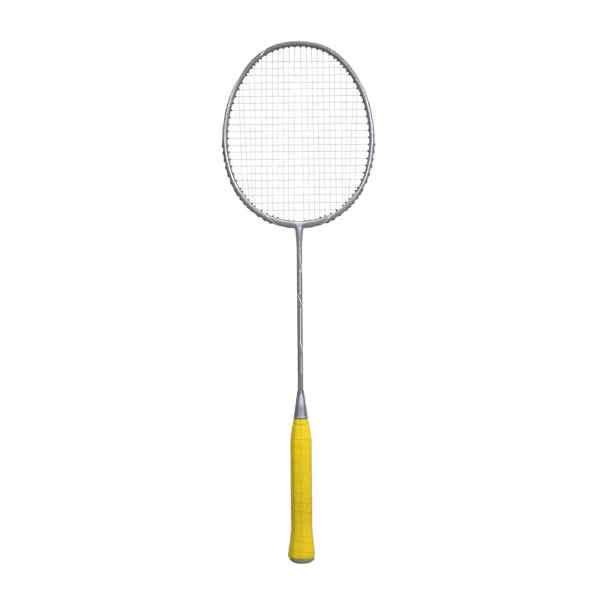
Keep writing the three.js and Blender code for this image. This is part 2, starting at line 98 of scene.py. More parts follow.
def table(rows, x):
    """smooth monotone interpolation of (x, y) rows"""
    rows = np.array(rows, float)
    xs, ys = rows[:, 0], rows[:, 1]
    h = np.diff(xs)
    d = np.diff(ys) / h
    m = np.zeros(len(xs))
    m[0], m[-1] = d[0], d[-1]
    for i in range(1, len(xs) - 1):
        if d[i - 1] * d[i] > 0:
            w1, w2 = 2 * h[i] + h[i - 1], h[i] + 2 * h[i - 1]
            m[i] = (w1 + w2) / (w1 / d[i - 1] + w2 / d[i])
    x = np.clip(np.asarray(x, float), xs[0], xs[-1])
    i = np.clip(np.searchsorted(xs, x, side="right") - 1, 0, len(xs) - 2)
    t = (x - xs[i]) / h[i]
    a = (1 + 2 * t) * (1 - t) ** 2
    b = t * (1 - t) ** 2
    c = t * t * (3 - 2 * t)
    e = t * t * (t - 1)
    return a * ys[i] + b * h[i] * m[i] + c * ys[i + 1] + e * h[i] * m[i + 1]


def centre(t):
    t = np.asarray(t, float)
    r = sum(c * np.cos(n * t) for n, c in enumerate(HOOP))
    return r * np.sin(t), HEAD_Z + r * np.cos(t)


def station(t):
    t = np.asarray(t, float)
    e = 1e-4
    x, z = centre(t)
    x1, z1 = centre(t + e)
    x0, z0 = centre(t - e)
    l = np.hypot(x1 - x0, z1 - z0)
    tx, tz = (x1 - x0) / l, (z1 - z0) / l
    return x, z, tx, tz, -tz, tx


def half(t):
    d = np.abs(np.degrees(t))
    d = np.where(d > 180, 360 - d, d)
    return (7.0 + 3.6 * sstep(146, 180, d)) / 2


def ring(t, n, y):
    x, z, tx, tz, nx, nz = station(t)
    return np.stack(np.broadcast_arrays(x + nx * n, y, z + nz * n), -1)


# ---------------------------------------------------------------- mesh helpers
def make_object(name, verts, faces, attributes=None, smooth=True):
    """verts in mm; the object's mesh is in metres at the origin"""
    mesh = bpy.data.meshes.new(name)
    mesh.from_pydata((np.asarray(verts, float) * MM).tolist(), [], [list(map(int, f)) for f in faces])
    mesh.update()
    bm = bmesh.new()
    bm.from_mesh(mesh)
    bmesh.ops.recalc_face_normals(bm, faces=bm.faces)
    bm.to_mesh(mesh)
    bm.free()
    if smooth:
        mesh.polygons.foreach_set("use_smooth", [True] * len(mesh.polygons))
    for key, values in (attributes or {}).items():
        a = mesh.attributes.new(key, "FLOAT", "POINT")
        a.data.foreach_set("value", np.asarray(values, np.float32).ravel())
    obj = bpy.data.objects.new(name, mesh)
    bpy.context.scene.collection.objects.link(obj)
    return obj


def grid_faces(nu, nv, base=0, close_u=False, close_v=False):
    """vertex (i, j) has index base + i*nv + j"""
    i = np.arange(nu if close_u else nu - 1)
    j = np.arange(nv if close_v else nv - 1)
    I, J = np.meshgrid(i, j, indexing="ij")
    I2, J2 = (I + 1) % nu, (J + 1) % nv
    f = np.stack([I * nv + J, I2 * nv + J, I2 * nv + J2, I * nv + J2], -1).reshape(-1, 4) + base
    return f.tolist()


def set_attribute(mesh, key, values):
    a = mesh.attributes.get(key) or mesh.attributes.new(key, "FLOAT", "POINT")
    a.data.foreach_set("value", np.asarray(values, np.float32).ravel())


def coords(mesh):
    co = np.zeros(len(mesh.vertices) * 3)
    mesh.vertices.foreach_get("co", co)
    return co.reshape(-1, 3) / MM


def soft_noise(p, scale, seed=0):
    """smooth pseudo-random field of points p (n, 3) in mm, about -1..1, with features near scale mm"""
    g = np.random.default_rng(seed)
    total = np.zeros(len(p))
    for _ in range(10):
        d = g.normal(size=3)
        d /= np.linalg.norm(d)
        f = 2 * np.pi / scale * g.uniform(0.6, 1.5)
        total += np.sin(p @ d * f + g.uniform(0, 6.28) + 1.3 * np.sin(p @ d[[1, 2, 0]] * f * 0.6 + g.uniform(0, 6.28)))
    return total / 4.0


# ---------------------------------------------------------------- node materials
def lin(r, g, b):
    f = lambda c: (c / 255 / 12.92) if c / 255 <= 0.04045 else ((c / 255 + 0.055) / 1.055) ** 2.4
    return (f(r), f(g), f(b), 1.0)


class Paint:
    def __init__(self, name, roughness=0.5, metallic=0.0, **extra):
        self.m = bpy.data.materials.new(name)
        self.m.use_nodes = True
        self.t = self.m.node_tree
        self.b = next(n for n in self.t.nodes if n.type == "BSDF_PRINCIPLED")
        self.b.inputs["Roughness"].default_value = roughness
        self.b.inputs["Metallic"].default_value = metallic
        for k, v in extra.items():
            self.b.inputs[k.replace("_", " ")].default_value = v
        self.coord = self.node("ShaderNodeTexCoord").outputs["Object"]

    def node(self, kind, **props):
        n = self.t.nodes.new(kind)
        for k, v in props.items():
            setattr(n, k, v)
        return n

    def put(self, value, socket):
        if isinstance(value, bpy.types.NodeSocket):
            self.t.links.new(value, socket)
        else:
            socket.default_value = value

    def attr(self, name):
        return self.node("ShaderNodeAttribute", attribute_name=name).outputs["Fac"]

    def math(self, op, a, b=0.0, clamp=False):
        n = self.node("ShaderNodeMath", operation=op, use_clamp=clamp)
        self.put(a, n.inputs[0])
        self.put(b, n.inputs[1])
        return n.outputs[0]

    def step(self, x, a, b):
        n = self.node("ShaderNodeMapRange", interpolation_type="SMOOTHSTEP")
        self.put(x, n.inputs["Value"])
        n.inputs["From Min"].default_value = a
        n.inputs["From Max"].default_value = b
        return n.outputs["Result"]

    def span(self, x, a, b, c, d):
        n = self.node("ShaderNodeMapRange")
        self.put(x, n.inputs["Value"])
        n.inputs["From Min"].default_value = a
        n.inputs["From Max"].default_value = b
        n.inputs["To Min"].default_value = c
        n.inputs["To Max"].default_value = d
        return n.outputs["Result"]

    def mix(self, fac, a, b, blend="MIX"):
        n = self.node("ShaderNodeMix", data_type="RGBA", blend_type=blend)
        self.put(fac, n.inputs[0])
        self.put(a, n.inputs[6])
        self.put(b, n.inputs[7])
        return n.outputs[2]

    def stretch(self, x, y, z):
        n = self.node("ShaderNodeMapping")
        self.put(self.coord, n.inputs["Vector"])
        n.inputs["Scale"].default_value = (x, y, z)
        return n.outputs["Vector"]

    def noise(self, scale, detail=3.0, rough=0.5, vector=None):
        n = self.node("ShaderNodeTexNoise")
        self.put(vector or self.coord, n.inputs["Vector"])
        n.inputs["Scale"].default_value = scale
        n.inputs["Detail"].default_value = detail
        n.inputs["Roughness"].default_value = rough
        return n.outputs["Fac"]

    def cells(self, scale, vector=None, feature="F1", output="Distance"):
        n = self.node("ShaderNodeTexVoronoi", feature=feature)
        self.put(vector or self.coord, n.inputs["Vector"])
        n.inputs["Scale"].default_value = scale
        return n.outputs[output]

    def bump(self, height, distance, strength=1.0):
        n = self.node("ShaderNodeBump")
        n.inputs["Strength"].default_value = strength
        n.inputs["Distance"].default_value = distance
        self.put(height, n.inputs["Height"])
        last = self.b.inputs["Normal"].links
        if last:
            self.t.links.new(last[0].from_socket, n.inputs["Normal"])
        self.t.links.new(n.outputs["Normal"], self.b.inputs["Normal"])

    def colour(self, socket):
        self.put(socket, self.b.inputs["Base Color"])

    def roughness(self, socket):
        self.put(socket, self.b.inputs["Roughness"])

    def give(self, obj, slot=None):
        obj.data.materials.clear()
        obj.data.materials.append(self.m)


GREY_DARK = lin(118, 117, 121)
GREY_TOP = lin(117, 113, 112)
LAVENDER = lin(201, 200, 209)
LAVENDER_LOW = lin(214, 213, 218)
PLATE = lin(184, 182, 193)
WHITE_LINE = lin(236, 235, 243)


def painted(name, coat=0.55):
    p = Paint(name, roughness=0.36, metallic=0.3, Coat_Weight=coat, Coat_Roughness=0.16)
    return p


def finish_paint(p, colour, wear=None):
    """metallic flake, slight mottling, fine scuffs and an uneven gloss over a painted colour"""
    flake = p.cells(2600, output="Color")
    value = p.node("ShaderNodeSeparateColor")
    p.put(flake, value.inputs[0])
    spark = p.span(value.outputs[0], 0, 1, 0.93, 1.07)
    cloud = p.span(p.noise(55, 3), 0.3, 0.7, 0.95, 1.05)
    scale = p.math("MULTIPLY", spark, cloud)
    colour = p.mix(1.0, colour, scale, "MULTIPLY")
    scuff = p.noise(1.0, 4, 0.65, p.stretch(420, 900, 120))
    if wear is not None:
        mark = p.math("MULTIPLY", p.step(scuff, 0.58, 0.68), wear)
        colour = p.mix(p.math("MULTIPLY", mark, 0.45), colour, lin(188, 186, 186))
    p.colour(colour)
    rough = p.span(p.noise(160, 4, 0.6), 0.25, 0.75, 0.29, 0.44)
    if wear is not None:
        rough = p.math("ADD", rough, p.math("MULTIPLY", wear, 0.1))
    p.roughness(rough)
    p.bump(p.noise(700, 3), 0.00002, 0.5)


# ---------------------------------------------------------------- hoop with neck
def hoop_section(w, d):
    """closed section, as (across, depth) rows; groove on the outer side"""
    pts = []
    for y in np.linspace(-1.0, 1.0, 5):
        pts.append((w - GROOVE, y))
    pts += [(w - GROOVE + 0.06, 1.22), (w - GROOVE + 0.3, 1.38), (w - 0.75, 1.46), (w - 0.42, 1.55),
            (w * 0.945, 1.68), (w * 0.962, 1.88)]
    ys = d * np.sin(np.linspace(math.asin(2.1 / d), math.pi / 2, 12))
    e = 2.35
    for y in ys:
        pts.append((w * max(0.0, 1 - (y / d) ** e) ** (1 / e), y))
    upper = [(a, b) for a, b in pts[5:]]
    inner = []
    for k in range(1, 13):
        g = math.pi / 2 * k / 12
        n = math.sin(g) ** (2 / e)
        y = max(0.0, math.cos(g)) ** (2 / e)
        inner.append((-w * n, d * y))
    half_in = inner                       # goes from the front crest round to the inner middle
    ringpts = pts[:5] + upper + half_in
    lower = [(a, -b) for a, b in reversed(upper + half_in[:-1])]
    return ringpts + lower


def locate(x, z):
    """hoop angle t (signed) and outward offset n of points in the string plane"""
    t = np.arctan2(x, z - HEAD_Z)
    for _ in range(6):
        cx, cz, tx, tz, nx, nz = station(t)
        along = (x - cx) * tx + (z - cz) * tz
        t = t + along / 115.0
    cx, cz, tx, tz, nx, nz = station(t)
    return t, (x - cx) * nx + (z - cz) * nz


def paint_hoop(mesh):
    p = coords(mesh)
    x, y, z = p.T
    t, n = locate(x, z)
    deg = np.abs(np.degrees(t))
    w = half(t)
    u = n / w
    neck = (z < 434.5) & (np.abs(x) < 14)
    # main pale line, partly a pale painted stripe and partly a painted highlight: from the outer edge at the shoulder,
    # over the front face, to the inner edge at the T
    c = table([(36, 1.1), (40, 1.0), (45, 0.87), (50, 0.74), (55, 0.60), (60, 0.47), (65, 0.34), (70, 0.25), (80, 0.18),
               (90, 0.03), (100, -0.03), (110, -0.08), (120, -0.12), (126, -0.2), (132, -0.33), (137, -0.43), (145, -0.53),
               (151, -0.57), (160, -0.53), (168, -0.48), (180, -0.45)], deg)
    h = table([(36, 0.08), (40, 0.14), (45, 0.2), (55, 0.23), (80, 0.23), (100, 0.23), (130, 0.21), (140, 0.18),
               (150, 0.17), (165, 0.15), (180, 0.14)], deg)
    # the line runs a little differently on the two sides of the bow
    front_x = x * np.sign(-y)
    c_left = table([(36, -0.2), (45, -0.25), (55, -0.2), (65, -0.12), (75, -0.02), (95, 0.0), (110, -0.05), (130, -0.12),
                    (150, -0.14), (165, -0.04), (180, 0)], deg)
    c_right = table([(36, 0), (95, 0.05), (110, 0.15), (120, 0.2), (130, 0.28), (140, 0.18), (150, 0.1), (165, 0.04),
                     (180, 0)], deg)
    c = c + np.where(front_x < 0, c_left, c_right) * sstep(0, 8, np.abs(x))
    # painted highlight: the band is wider and brighter high on the left
    left_highlight = np.where(front_x < 0, sstep(38, 45, deg) * sstep(80, 60, deg), 0.0)
    h = h + 0.07 * left_highlight
    stripe_and_highlight = (h - np.abs(u - c)) * w
    stripe_and_highlight = np.where(deg < 36, -3, stripe_and_highlight)
    # second line outside it, parting from it above the middle
    c2 = table([(66, 1.12), (72, 1.0), (76, 0.88), (88, 0.53), (98, 0.32), (106, 0.16), (112, 0.05)], deg)
    second = np.where((deg > 67) & (deg < 110), (0.085 - np.abs(u - c2)) * w, -3)
    stripe_and_highlight = np.where(neck, -3, stripe_and_highlight)
    # plate over the T, with a V that runs down the neck
    zb = table([(0, 427.5), (1.0, 430.6), (1.8, 433.2), (3.1, 436.2), (5.0, 438.7), (8.3, 440.5), (12.1, 441.3),
                (18.6, 442.4), (25, 443.8), (29, 445.0), (40, 449.0)], np.abs(x))
    plate = np.where((np.abs(x) < 26) & (z < 450), np.minimum(z - zb, (u + 0.84) * w), -3)
    # away from the T the light plate keeps to the inner third of the tube
    low_u = table([(0, 9), (4, 0.75), (7, 0.12), (10, -0.16), (14, -0.26), (30, -0.32)], np.abs(x))
    plate = np.minimum(plate, (low_u - u) * w)
    plate = np.where(np.abs(x) > 5, np.minimum(plate, (u - c + h) * w), plate)
    plate = np.where(neck, z - zb, plate)
    # pale strokes, as distances in mm
    lean = 23.7 - 3.0 * u
    cut = 0.56 - np.abs(deg - lean) * 0.95 - 0.6 * np.clip(-0.45 - u, 0, 2) * w
    cut = np.maximum(cut, 0.17 - np.abs(deg - lean - 1.5) * 0.95)
    cut = np.where(deg < 36, cut, -3)
    left = front_x < 0
    strong = np.where(left, cut, -3)
    faint = np.where(left, -3, cut - 0.12)
    # a curved stroke that sweeps out to the outer edge beside the T, and a fainter one above it
    def stroke(rows, hw):
        lo, hi = rows[0][0], rows[-1][0]
        along = np.linspace(lo, hi, 200)
        slope = np.gradient(table(rows, along), (hi - lo) / 199)
        k = np.interp(deg, along, slope) * w / 2.007
        line = hw - np.abs(u - table(rows, deg)) * w / np.sqrt(1 + k * k)
        return np.where((deg > lo) & (deg < hi), line, -3)

    strong = np.maximum(strong, stroke([(155.5, -0.8), (157.5, -0.58), (159.2, -0.35), (161, -0.02), (162.6, 0.3),
                                        (164.2, 0.6), (166, 0.95), (167.2, 1.3)], 0.34))
    faint = np.maximum(faint, stroke([(147, -0.42), (151, -0.27), (156, -0.06), (160, 0.2), (163, 0.62)], 0.2))
    faint = np.maximum(faint, stroke([(138, 0.28), (146, 0.5), (153.7, 0.73), (159, 0.9), (161, 1.0)], 0.24))
    faint = np.maximum(faint, second)
    strong = np.where(neck, -3, strong)
    faint = np.where(neck, -3, faint)
    # painted highlight: a light streak down the front and back of the neck
    neck_highlight = np.where(z < 434, 0.85 - np.abs(x - 0.35 * np.sign(-y)), -3)
    neck_highlight = np.where(z < 434, np.minimum(neck_highlight, (434 - z) * 0.5), -3)
    top = 1 - sstep(23.5, 25.0, deg + (u * 2.3))
    top = np.where(z < 600, 0, top)
    # painted shade and light: a darker outer edge on the left shoulder as painted shade, a dimmer band on the right as
    # painted shade, a lighter underside of the lower bow as painted light, and a darker inner side of the lower bow as
    # painted shade
    rim = np.where(front_x < 0, sstep(0.1, 0.3, u - c - h) * sstep(38, 48, deg) * sstep(118, 100, deg), 0.0)
    right = sstep(25, 80, x * np.sign(-y)) * sstep(125, 105, deg)
    inner = sstep(0.02, 0.2, c - h - u) * sstep(118, 138, deg) * sstep(2, 9, np.abs(x))
    underside_light = sstep(0.0, 0.45, u) * sstep(112, 140, deg)
    wear = sstep(0.35, 0.95, np.abs(u)) * (0.2 + 0.8 * sstep(70, 10, deg))
    for key, value in (("stripe_and_highlight", stripe_and_highlight), ("plate", plate), ("rim", rim), ("right", right), ("underside_light", underside_light), ("inner", inner), ("left_highlight", left_highlight), ("low", sstep(120, 142, deg)), ("strong", strong), ("faint", faint), ("neck_highlight", neck_highlight), ("top", top),
                       ("wear", np.where(neck, 0.0, wear))):
        set_attribute(mesh, key, np.clip(value, -3, 3))


def build_frame():
    n_st = 640
    t = np.linspace(-np.pi, np.pi, n_st, endpoint=False)
    # even spacing along the curve
    fine = np.linspace(-np.pi, np.pi, 20001)
    fx, fz = centre(fine)
    s = np.concatenate([[0], np.cumsum(np.hypot(np.diff(fx), np.diff(fz)))])
    t = np.interp(np.linspace(0, s[-1], n_st, endpoint=False), s, fine)
    x, z, tx, tz, nx, nz = station(t)
    w = half(t)
    sections = np.array([hoop_section(a, HOOP_D / 2) for a in w])
    k = sections.shape[1]
    N, Y = sections[..., 0], sections[..., 1]
    verts = np.stack([x[:, None] + nx[:, None] * N, Y, z[:, None] + nz[:, None] * N], -1).reshape(-1, 3)
    hoop = make_object("racket_frame", verts, grid_faces(n_st, k, close_u=True, close_v=True))
    # neck, swept out into the underside of the hoop
    zz = np.concatenate([np.linspace(403, 428, 26), np.linspace(428.5, 437.2, 22)])
    a = table(NECK, zz)
    b = np.minimum(np.minimum(a, 3.4 + 1.75 * sstep(403, 433, zz)), 5.0)
    b = np.maximum(b, 3.53 * (1 - sstep(403, 412, zz)) + b * sstep(403, 412, zz))
    m = 64
    phi = np.linspace(0, 2 * np.pi, m, endpoint=False)
    e = 2.0 + 0.35 * sstep(410, 434, zz)[:, None]
    cx = np.sign(np.cos(phi)) * np.abs(np.cos(phi)) ** (2 / e)
    cy = np.sign(np.sin(phi)) * np.abs(np.sin(phi)) ** (2 / e)
    rows = np.stack([a[:, None] * cx, b[:, None] * cy, np.repeat(zz[:, None], m, 1)], -1)
    nv = rows.reshape(-1, 3).tolist()
    faces = grid_faces(len(zz), m, close_v=True)
    nv += [[0, 0, zz[0]], [0, 0, zz[-1]]]
    q = len(zz) * m
    faces += [[q, (j + 1) % m, j] for j in range(m)]
    faces += [[q + 1, (len(zz) - 1) * m + j, (len(zz) - 1) * m + (j + 1) % m] for j in range(m)]
    neck = make_object("neck_tmp", nv, faces)
    mod = hoop.modifiers.new("join", "BOOLEAN")
    mod.operation = "UNION"
    mod.solver = "EXACT"
    mod.object = neck
    bpy.context.view_layer.objects.active = hoop
    bpy.ops.object.modifier_apply(modifier="join")
    bpy.data.objects.remove(neck)
    bm = bmesh.new()
    bm.from_mesh(hoop.data)
    bmesh.ops.remove_doubles(bm, verts=bm.verts, dist=1e-6)
    near = [v for v in bm.verts if 0.4285 < v.co.z < 0.4385 and abs(v.co.x) < 0.0145
            and (abs(v.co.y) > 0.0022 or v.co.z < 0.434)]
    for _ in range(5):
        bmesh.ops.smooth_vert(bm, verts=near, factor=0.4, use_axis_x=True, use_axis_y=True, use_axis_z=True)
    for f in bm.faces:
        f.smooth = True
    bm.to_mesh(hoop.data)
    bm.free()
    paint_hoop(hoop.data)
    return hoop


hoop = build_frame()
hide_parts("frame_hoop")
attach(hoop, "root")
p = painted("frame_paint_metallic")
col = p.mix(p.attr("top"), GREY_DARK, GREY_TOP)
# painted light: the underside of the lower bow lighter
col = p.mix(p.attr("underside_light"), col, lin(137, 136, 139))
# painted shade: the outer edge of the left shoulder darker
col = p.mix(p.math("MULTIPLY", p.attr("rim"), 0.85), col, lin(82, 81, 85))
# painted shade: the inner side of the lower bow darker
col = p.mix(p.math("MULTIPLY", p.attr("inner"), 0.85), col, lin(92, 91, 95))
# painted highlight down the neck
col = p.mix(p.math("MULTIPLY", p.step(p.attr("neck_highlight"), -0.6, 0.7), 0.55), col, PLATE)
col = p.mix(p.step(p.attr("plate"), -0.25, 0.35), col, PLATE)
# pale stripe with painted highlight: the band dimmed on the right as painted shade, brighter high on the left and
# whiter on the lower bow as painted highlight
col = p.mix(p.step(p.attr("stripe_and_highlight"), -0.12, 0.16), col,
            p.mix(p.attr("low"), p.mix(p.attr("right"), p.mix(p.attr("left_highlight"), LAVENDER, lin(222, 221, 229)), lin(184, 183, 193)), LAVENDER_LOW))
col = p.mix(p.math("MULTIPLY", p.step(p.attr("faint"), -0.12, 0.12), 0.5), col, LAVENDER)
col = p.mix(p.step(p.attr("strong"), -0.12, 0.12), col, WHITE_LINE)
finish_paint(p, col, p.attr("wear"))
p.give(hoop, "frame_paint")


# ---------------------------------------------------------------- shaft
def strokes(psi, z, r, rows):
    """largest (half width - distance) over straight strokes given as (psi0, z0, psi1, z1, half width)"""
    best = np.full(len(z), -3.0)
    for a0, z0, a1, z1, hw in rows:
        for turn in (-360, 0, 360):
            px, pz = np.radians(psi + turn) * r, z
            ax, bx = math.radians(a0) * r, math.radians(a1) * r
            dx, dz = bx - ax, z1 - z0
            k = np.clip(((px - ax) * dx + (pz - z0) * dz) / (dx * dx + dz * dz), 0, 1)
            dist = np.hypot(px - ax - k * dx, pz - z0 - k * dz)
            best = np.maximum(best, hw - dist)
    return best


def build_shaft():
    zz = np.concatenate([np.linspace(89, 185, 9), np.linspace(188, 403.1, 260)])
    m = 56
    phi = np.linspace(0, 2 * np.pi, m, endpoint=False)
    rows = np.stack([np.repeat(SHAFT_R * np.cos(phi)[None], len(zz), 0),
                     np.repeat(SHAFT_R * np.sin(phi)[None], len(zz), 0),
                     np.repeat(zz[:, None], m, 1)], -1).reshape(-1, 3)
    inner = rows.copy()
    inner[:, :2] *= 2.5 / 3.5
    keep = np.array([0, len(zz) - 1])
    inner = inner.reshape(len(zz), m, 3)[keep[::-1]].reshape(-1, 3)
    verts = np.concatenate([rows, inner])
    n = len(zz) + 2
    faces = grid_faces(n, m, close_u=True, close_v=True)
    shaft = make_object("racket_shaft", verts, faces)
    x, y, z = coords(shaft.data).T
    psi = np.degrees(np.arctan2(x, -y))
    # pale printed stripes, where the short upright white stroke at 25 degrees is a painted highlight; light strips,
    # mostly just right of the front centre, are a painted highlight, and dark strips, mostly down the left side, are
    # painted shade; all repeated on the back
    white_print_and_highlight = [(48, 387, 40, 376, 0.5), (-58, 348, 84, 330, 0.46), (4, 286, 98, 266, 0.46), (25, 267, 25, 245, 0.26),
             (-46, 349.5, -20, 343, 0.3)]
    shaft_highlight = [(10, 404, 26, 386, 0.5), (6, 380, 4, 347, 0.52), (18, 330, 10, 284, 0.6), (-32, 404, -34, 378, 0.22)]
    shaft_shade = [(-42, 362, -44, 345, 0.85), (72, 328, 62, 300, 0.5), (-60, 332, -60, 250, 0.7), (-66, 404, -66, 372, 0.5)]
    twice = lambda rows: rows + [(a - 180, z0, b - 180, z1, w) for a, z0, b, z1, w in rows]
    set_attribute(shaft.data, "white_print_and_highlight", np.clip(strokes(psi, z, 3.5, twice(white_print_and_highlight)), -3, 3))
    set_attribute(shaft.data, "shaft_highlight", np.clip(strokes(psi, z, 3.5, twice(shaft_highlight)), -3, 3))
    set_attribute(shaft.data, "shaft_shade", np.clip(strokes(psi, z, 3.5, twice(shaft_shade)), -3, 3))
    return shaft


shaft = build_shaft()
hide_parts("shaft")
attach(shaft, "root")
p = painted("shaft_paint_metallic")
# painted shade in the dark strips, painted highlight in the light strips and the upright white stroke, print in the
# other white strokes
col = p.mix(p.math("MULTIPLY", p.step(p.attr("shaft_shade"), -0.25, 0.25), 0.8), lin(122, 121, 125), lin(74, 73, 77))
col = p.mix(p.math("MULTIPLY", p.step(p.attr("shaft_highlight"), -0.35, 0.35), 0.95), col, lin(206, 204, 210))
col = p.mix(p.step(p.attr("white_print_and_highlight"), -0.1, 0.1), col, WHITE_LINE)
finish_paint(p, col)
p.give(shaft, "shaft_paint")


# ---------------------------------------------------------------- cone
def lathe(profile, m=96, phase=0.0):
    """closed profile of (z, r) rows turned about Z"""
    profile = np.array(profile, float)
    phi = np.linspace(0, 2 * np.pi, m, endpoint=False) + phase
    z, r = profile[:, 0][:, None], profile[:, 1][:, None]
    v = np.stack([r * np.cos(phi), r * np.sin(phi), np.repeat(z, m, 1)], -1).reshape(-1, 3)
    return v, grid_faces(len(profile), m, close_u=True, close_v=True)


def build_cone():
    zz = np.linspace(187.9, 222.9, 90)
    outer = [(z, float(table(CONE, z)) - 0.02 - 0.26 * float(sstep(188.5, 193, z))) for z in zz]
    foot = [(187.0, 7.6), (187.0, 8.6), (187.03, 8.95), (187.16, 9.14), (187.4, 9.24), (187.65, 9.27)]
    top = [(223.2, 4.02), (223.45, 3.92), (223.55, 3.78), (223.55, 3.62)]
    inner = [(215, 3.62), (208.6, 3.8), (206.8, 5.5), (201.4, 6.3), (196.2, 6.95), (191.0, 7.25), (188, 7.3)]
    v, f = lathe(foot + outer + top + inner, 96)
    cone = make_object("racket_cone", v, f)
    x, y, z = coords(cone.data).T
    L = table([(187, 3.7), (196, 3.75), (206.6, 3.35), (211, 2.85), (214.5, 2.2), (218, 1.2), (220.8, 0.0)], np.clip(z, 187, 220.8))
    leaf = np.where(z > 220.8, -3, (L - np.abs(x - 0.7 * np.sign(-y))) * 0.95)
    leaf = np.where(np.hypot(x, y) < 3.7, -3, leaf)
    bar = np.minimum(1.45 - np.abs(x - 0.9 * np.sign(-y)), 5.6 - np.abs(z - 197.6))
    rim = np.minimum(z - 187.9, 190.4 - z)
    set_attribute(cone.data, "leaf", np.clip(np.minimum(leaf, z - 187.9), -3, 3))
    set_attribute(cone.data, "down", sstep(209, 202, z))
    set_attribute(cone.data, "bar", np.clip(bar, -3, 3))
    set_attribute(cone.data, "rim", np.clip(rim, -3, 3))
    # painted shadow: the cone's foot darker where it sits on the tape
    set_attribute(cone.data, "foot", np.clip(187.5 - z, -3, 3))
    return cone


cone = build_cone()
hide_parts("cone_cap")
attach(cone, "root")
p = Paint("cone_moulded", roughness=0.42, Coat_Weight=0.25, Coat_Roughness=0.25)
col = p.mix(p.step(p.attr("rim"), -0.4, 0.6), lin(108, 106, 110), lin(138, 136, 148))
fade = p.mix(p.attr("down"), lin(184, 182, 195), lin(152, 149, 162))
col = p.mix(p.step(p.attr("leaf"), -0.15, 0.2), col, fade)
col = p.mix(p.step(p.attr("bar"), -0.15, 0.15), col, lin(124, 120, 140))
col = p.mix(p.math("MULTIPLY", p.step(p.attr("rim"), -0.4, 0.6), p.step(p.attr("leaf"), -2.2, 0.2)), col, lin(172, 169, 183))
# painted shadow along the cone's foot
col = p.mix(p.step(p.attr("foot"), -0.2, 0.2), col, lin(84, 83, 84))
finish_paint(p, col)
p.give(cone, "cone_plastic")


# ---------------------------------------------------------------- eyelet positions
def eyelet(k):
    angle, main, cross = EYELETS[k]
    goal = math.radians(angle)
    splay = SPLAY.get(k, 0)

    def make(t):
        x, z, tx, tz, nx, nz = (float(v) for v in station(t))
        l = math.hypot(1, splay)
        return dict(t=t, x=x, z=z, dx=(nx - tx * splay) / l, dz=(nz - tz * splay) / l, w=float(half(t)), scale=l)

    def at(h, n):
        return h["x"] + h["dx"] * n * h["scale"], h["z"] + h["dz"] * n * h["scale"]

    lo, hi = goal - 0.12, goal + 0.12
    for _ in range(45):
        mid = (lo + hi) / 2
        h = make(mid)
        px, pz = at(h, -h["w"] - 0.7)
        if math.atan2(px, pz - HEAD_Z) < goal:
            lo = mid
        else:
            hi = mid
    h = make((lo + hi) / 2)
    h["shared"] = main != 0 and cross != 0
    ox, oz = at(h, h["w"])
    out = math.atan2(ox, oz - HEAD_Z)
    lo, hi = h["t"] - 0.2, h["t"] + 0.2
    for _ in range(45):
        mid = (lo + hi) / 2
        q = ring(mid, float(half(mid)), 0.0)
        if math.atan2(q[0], q[2] - HEAD_Z) < out:
            lo = mid
        else:
            hi = mid
    h["out"] = (lo + hi) / 2
    h["at"] = lambda n, y=0.0: np.array([at(h, n)[0], y, at(h, n)[1]])
    return h


HOLES = [eyelet(k) for k in range(len(EYELETS))]


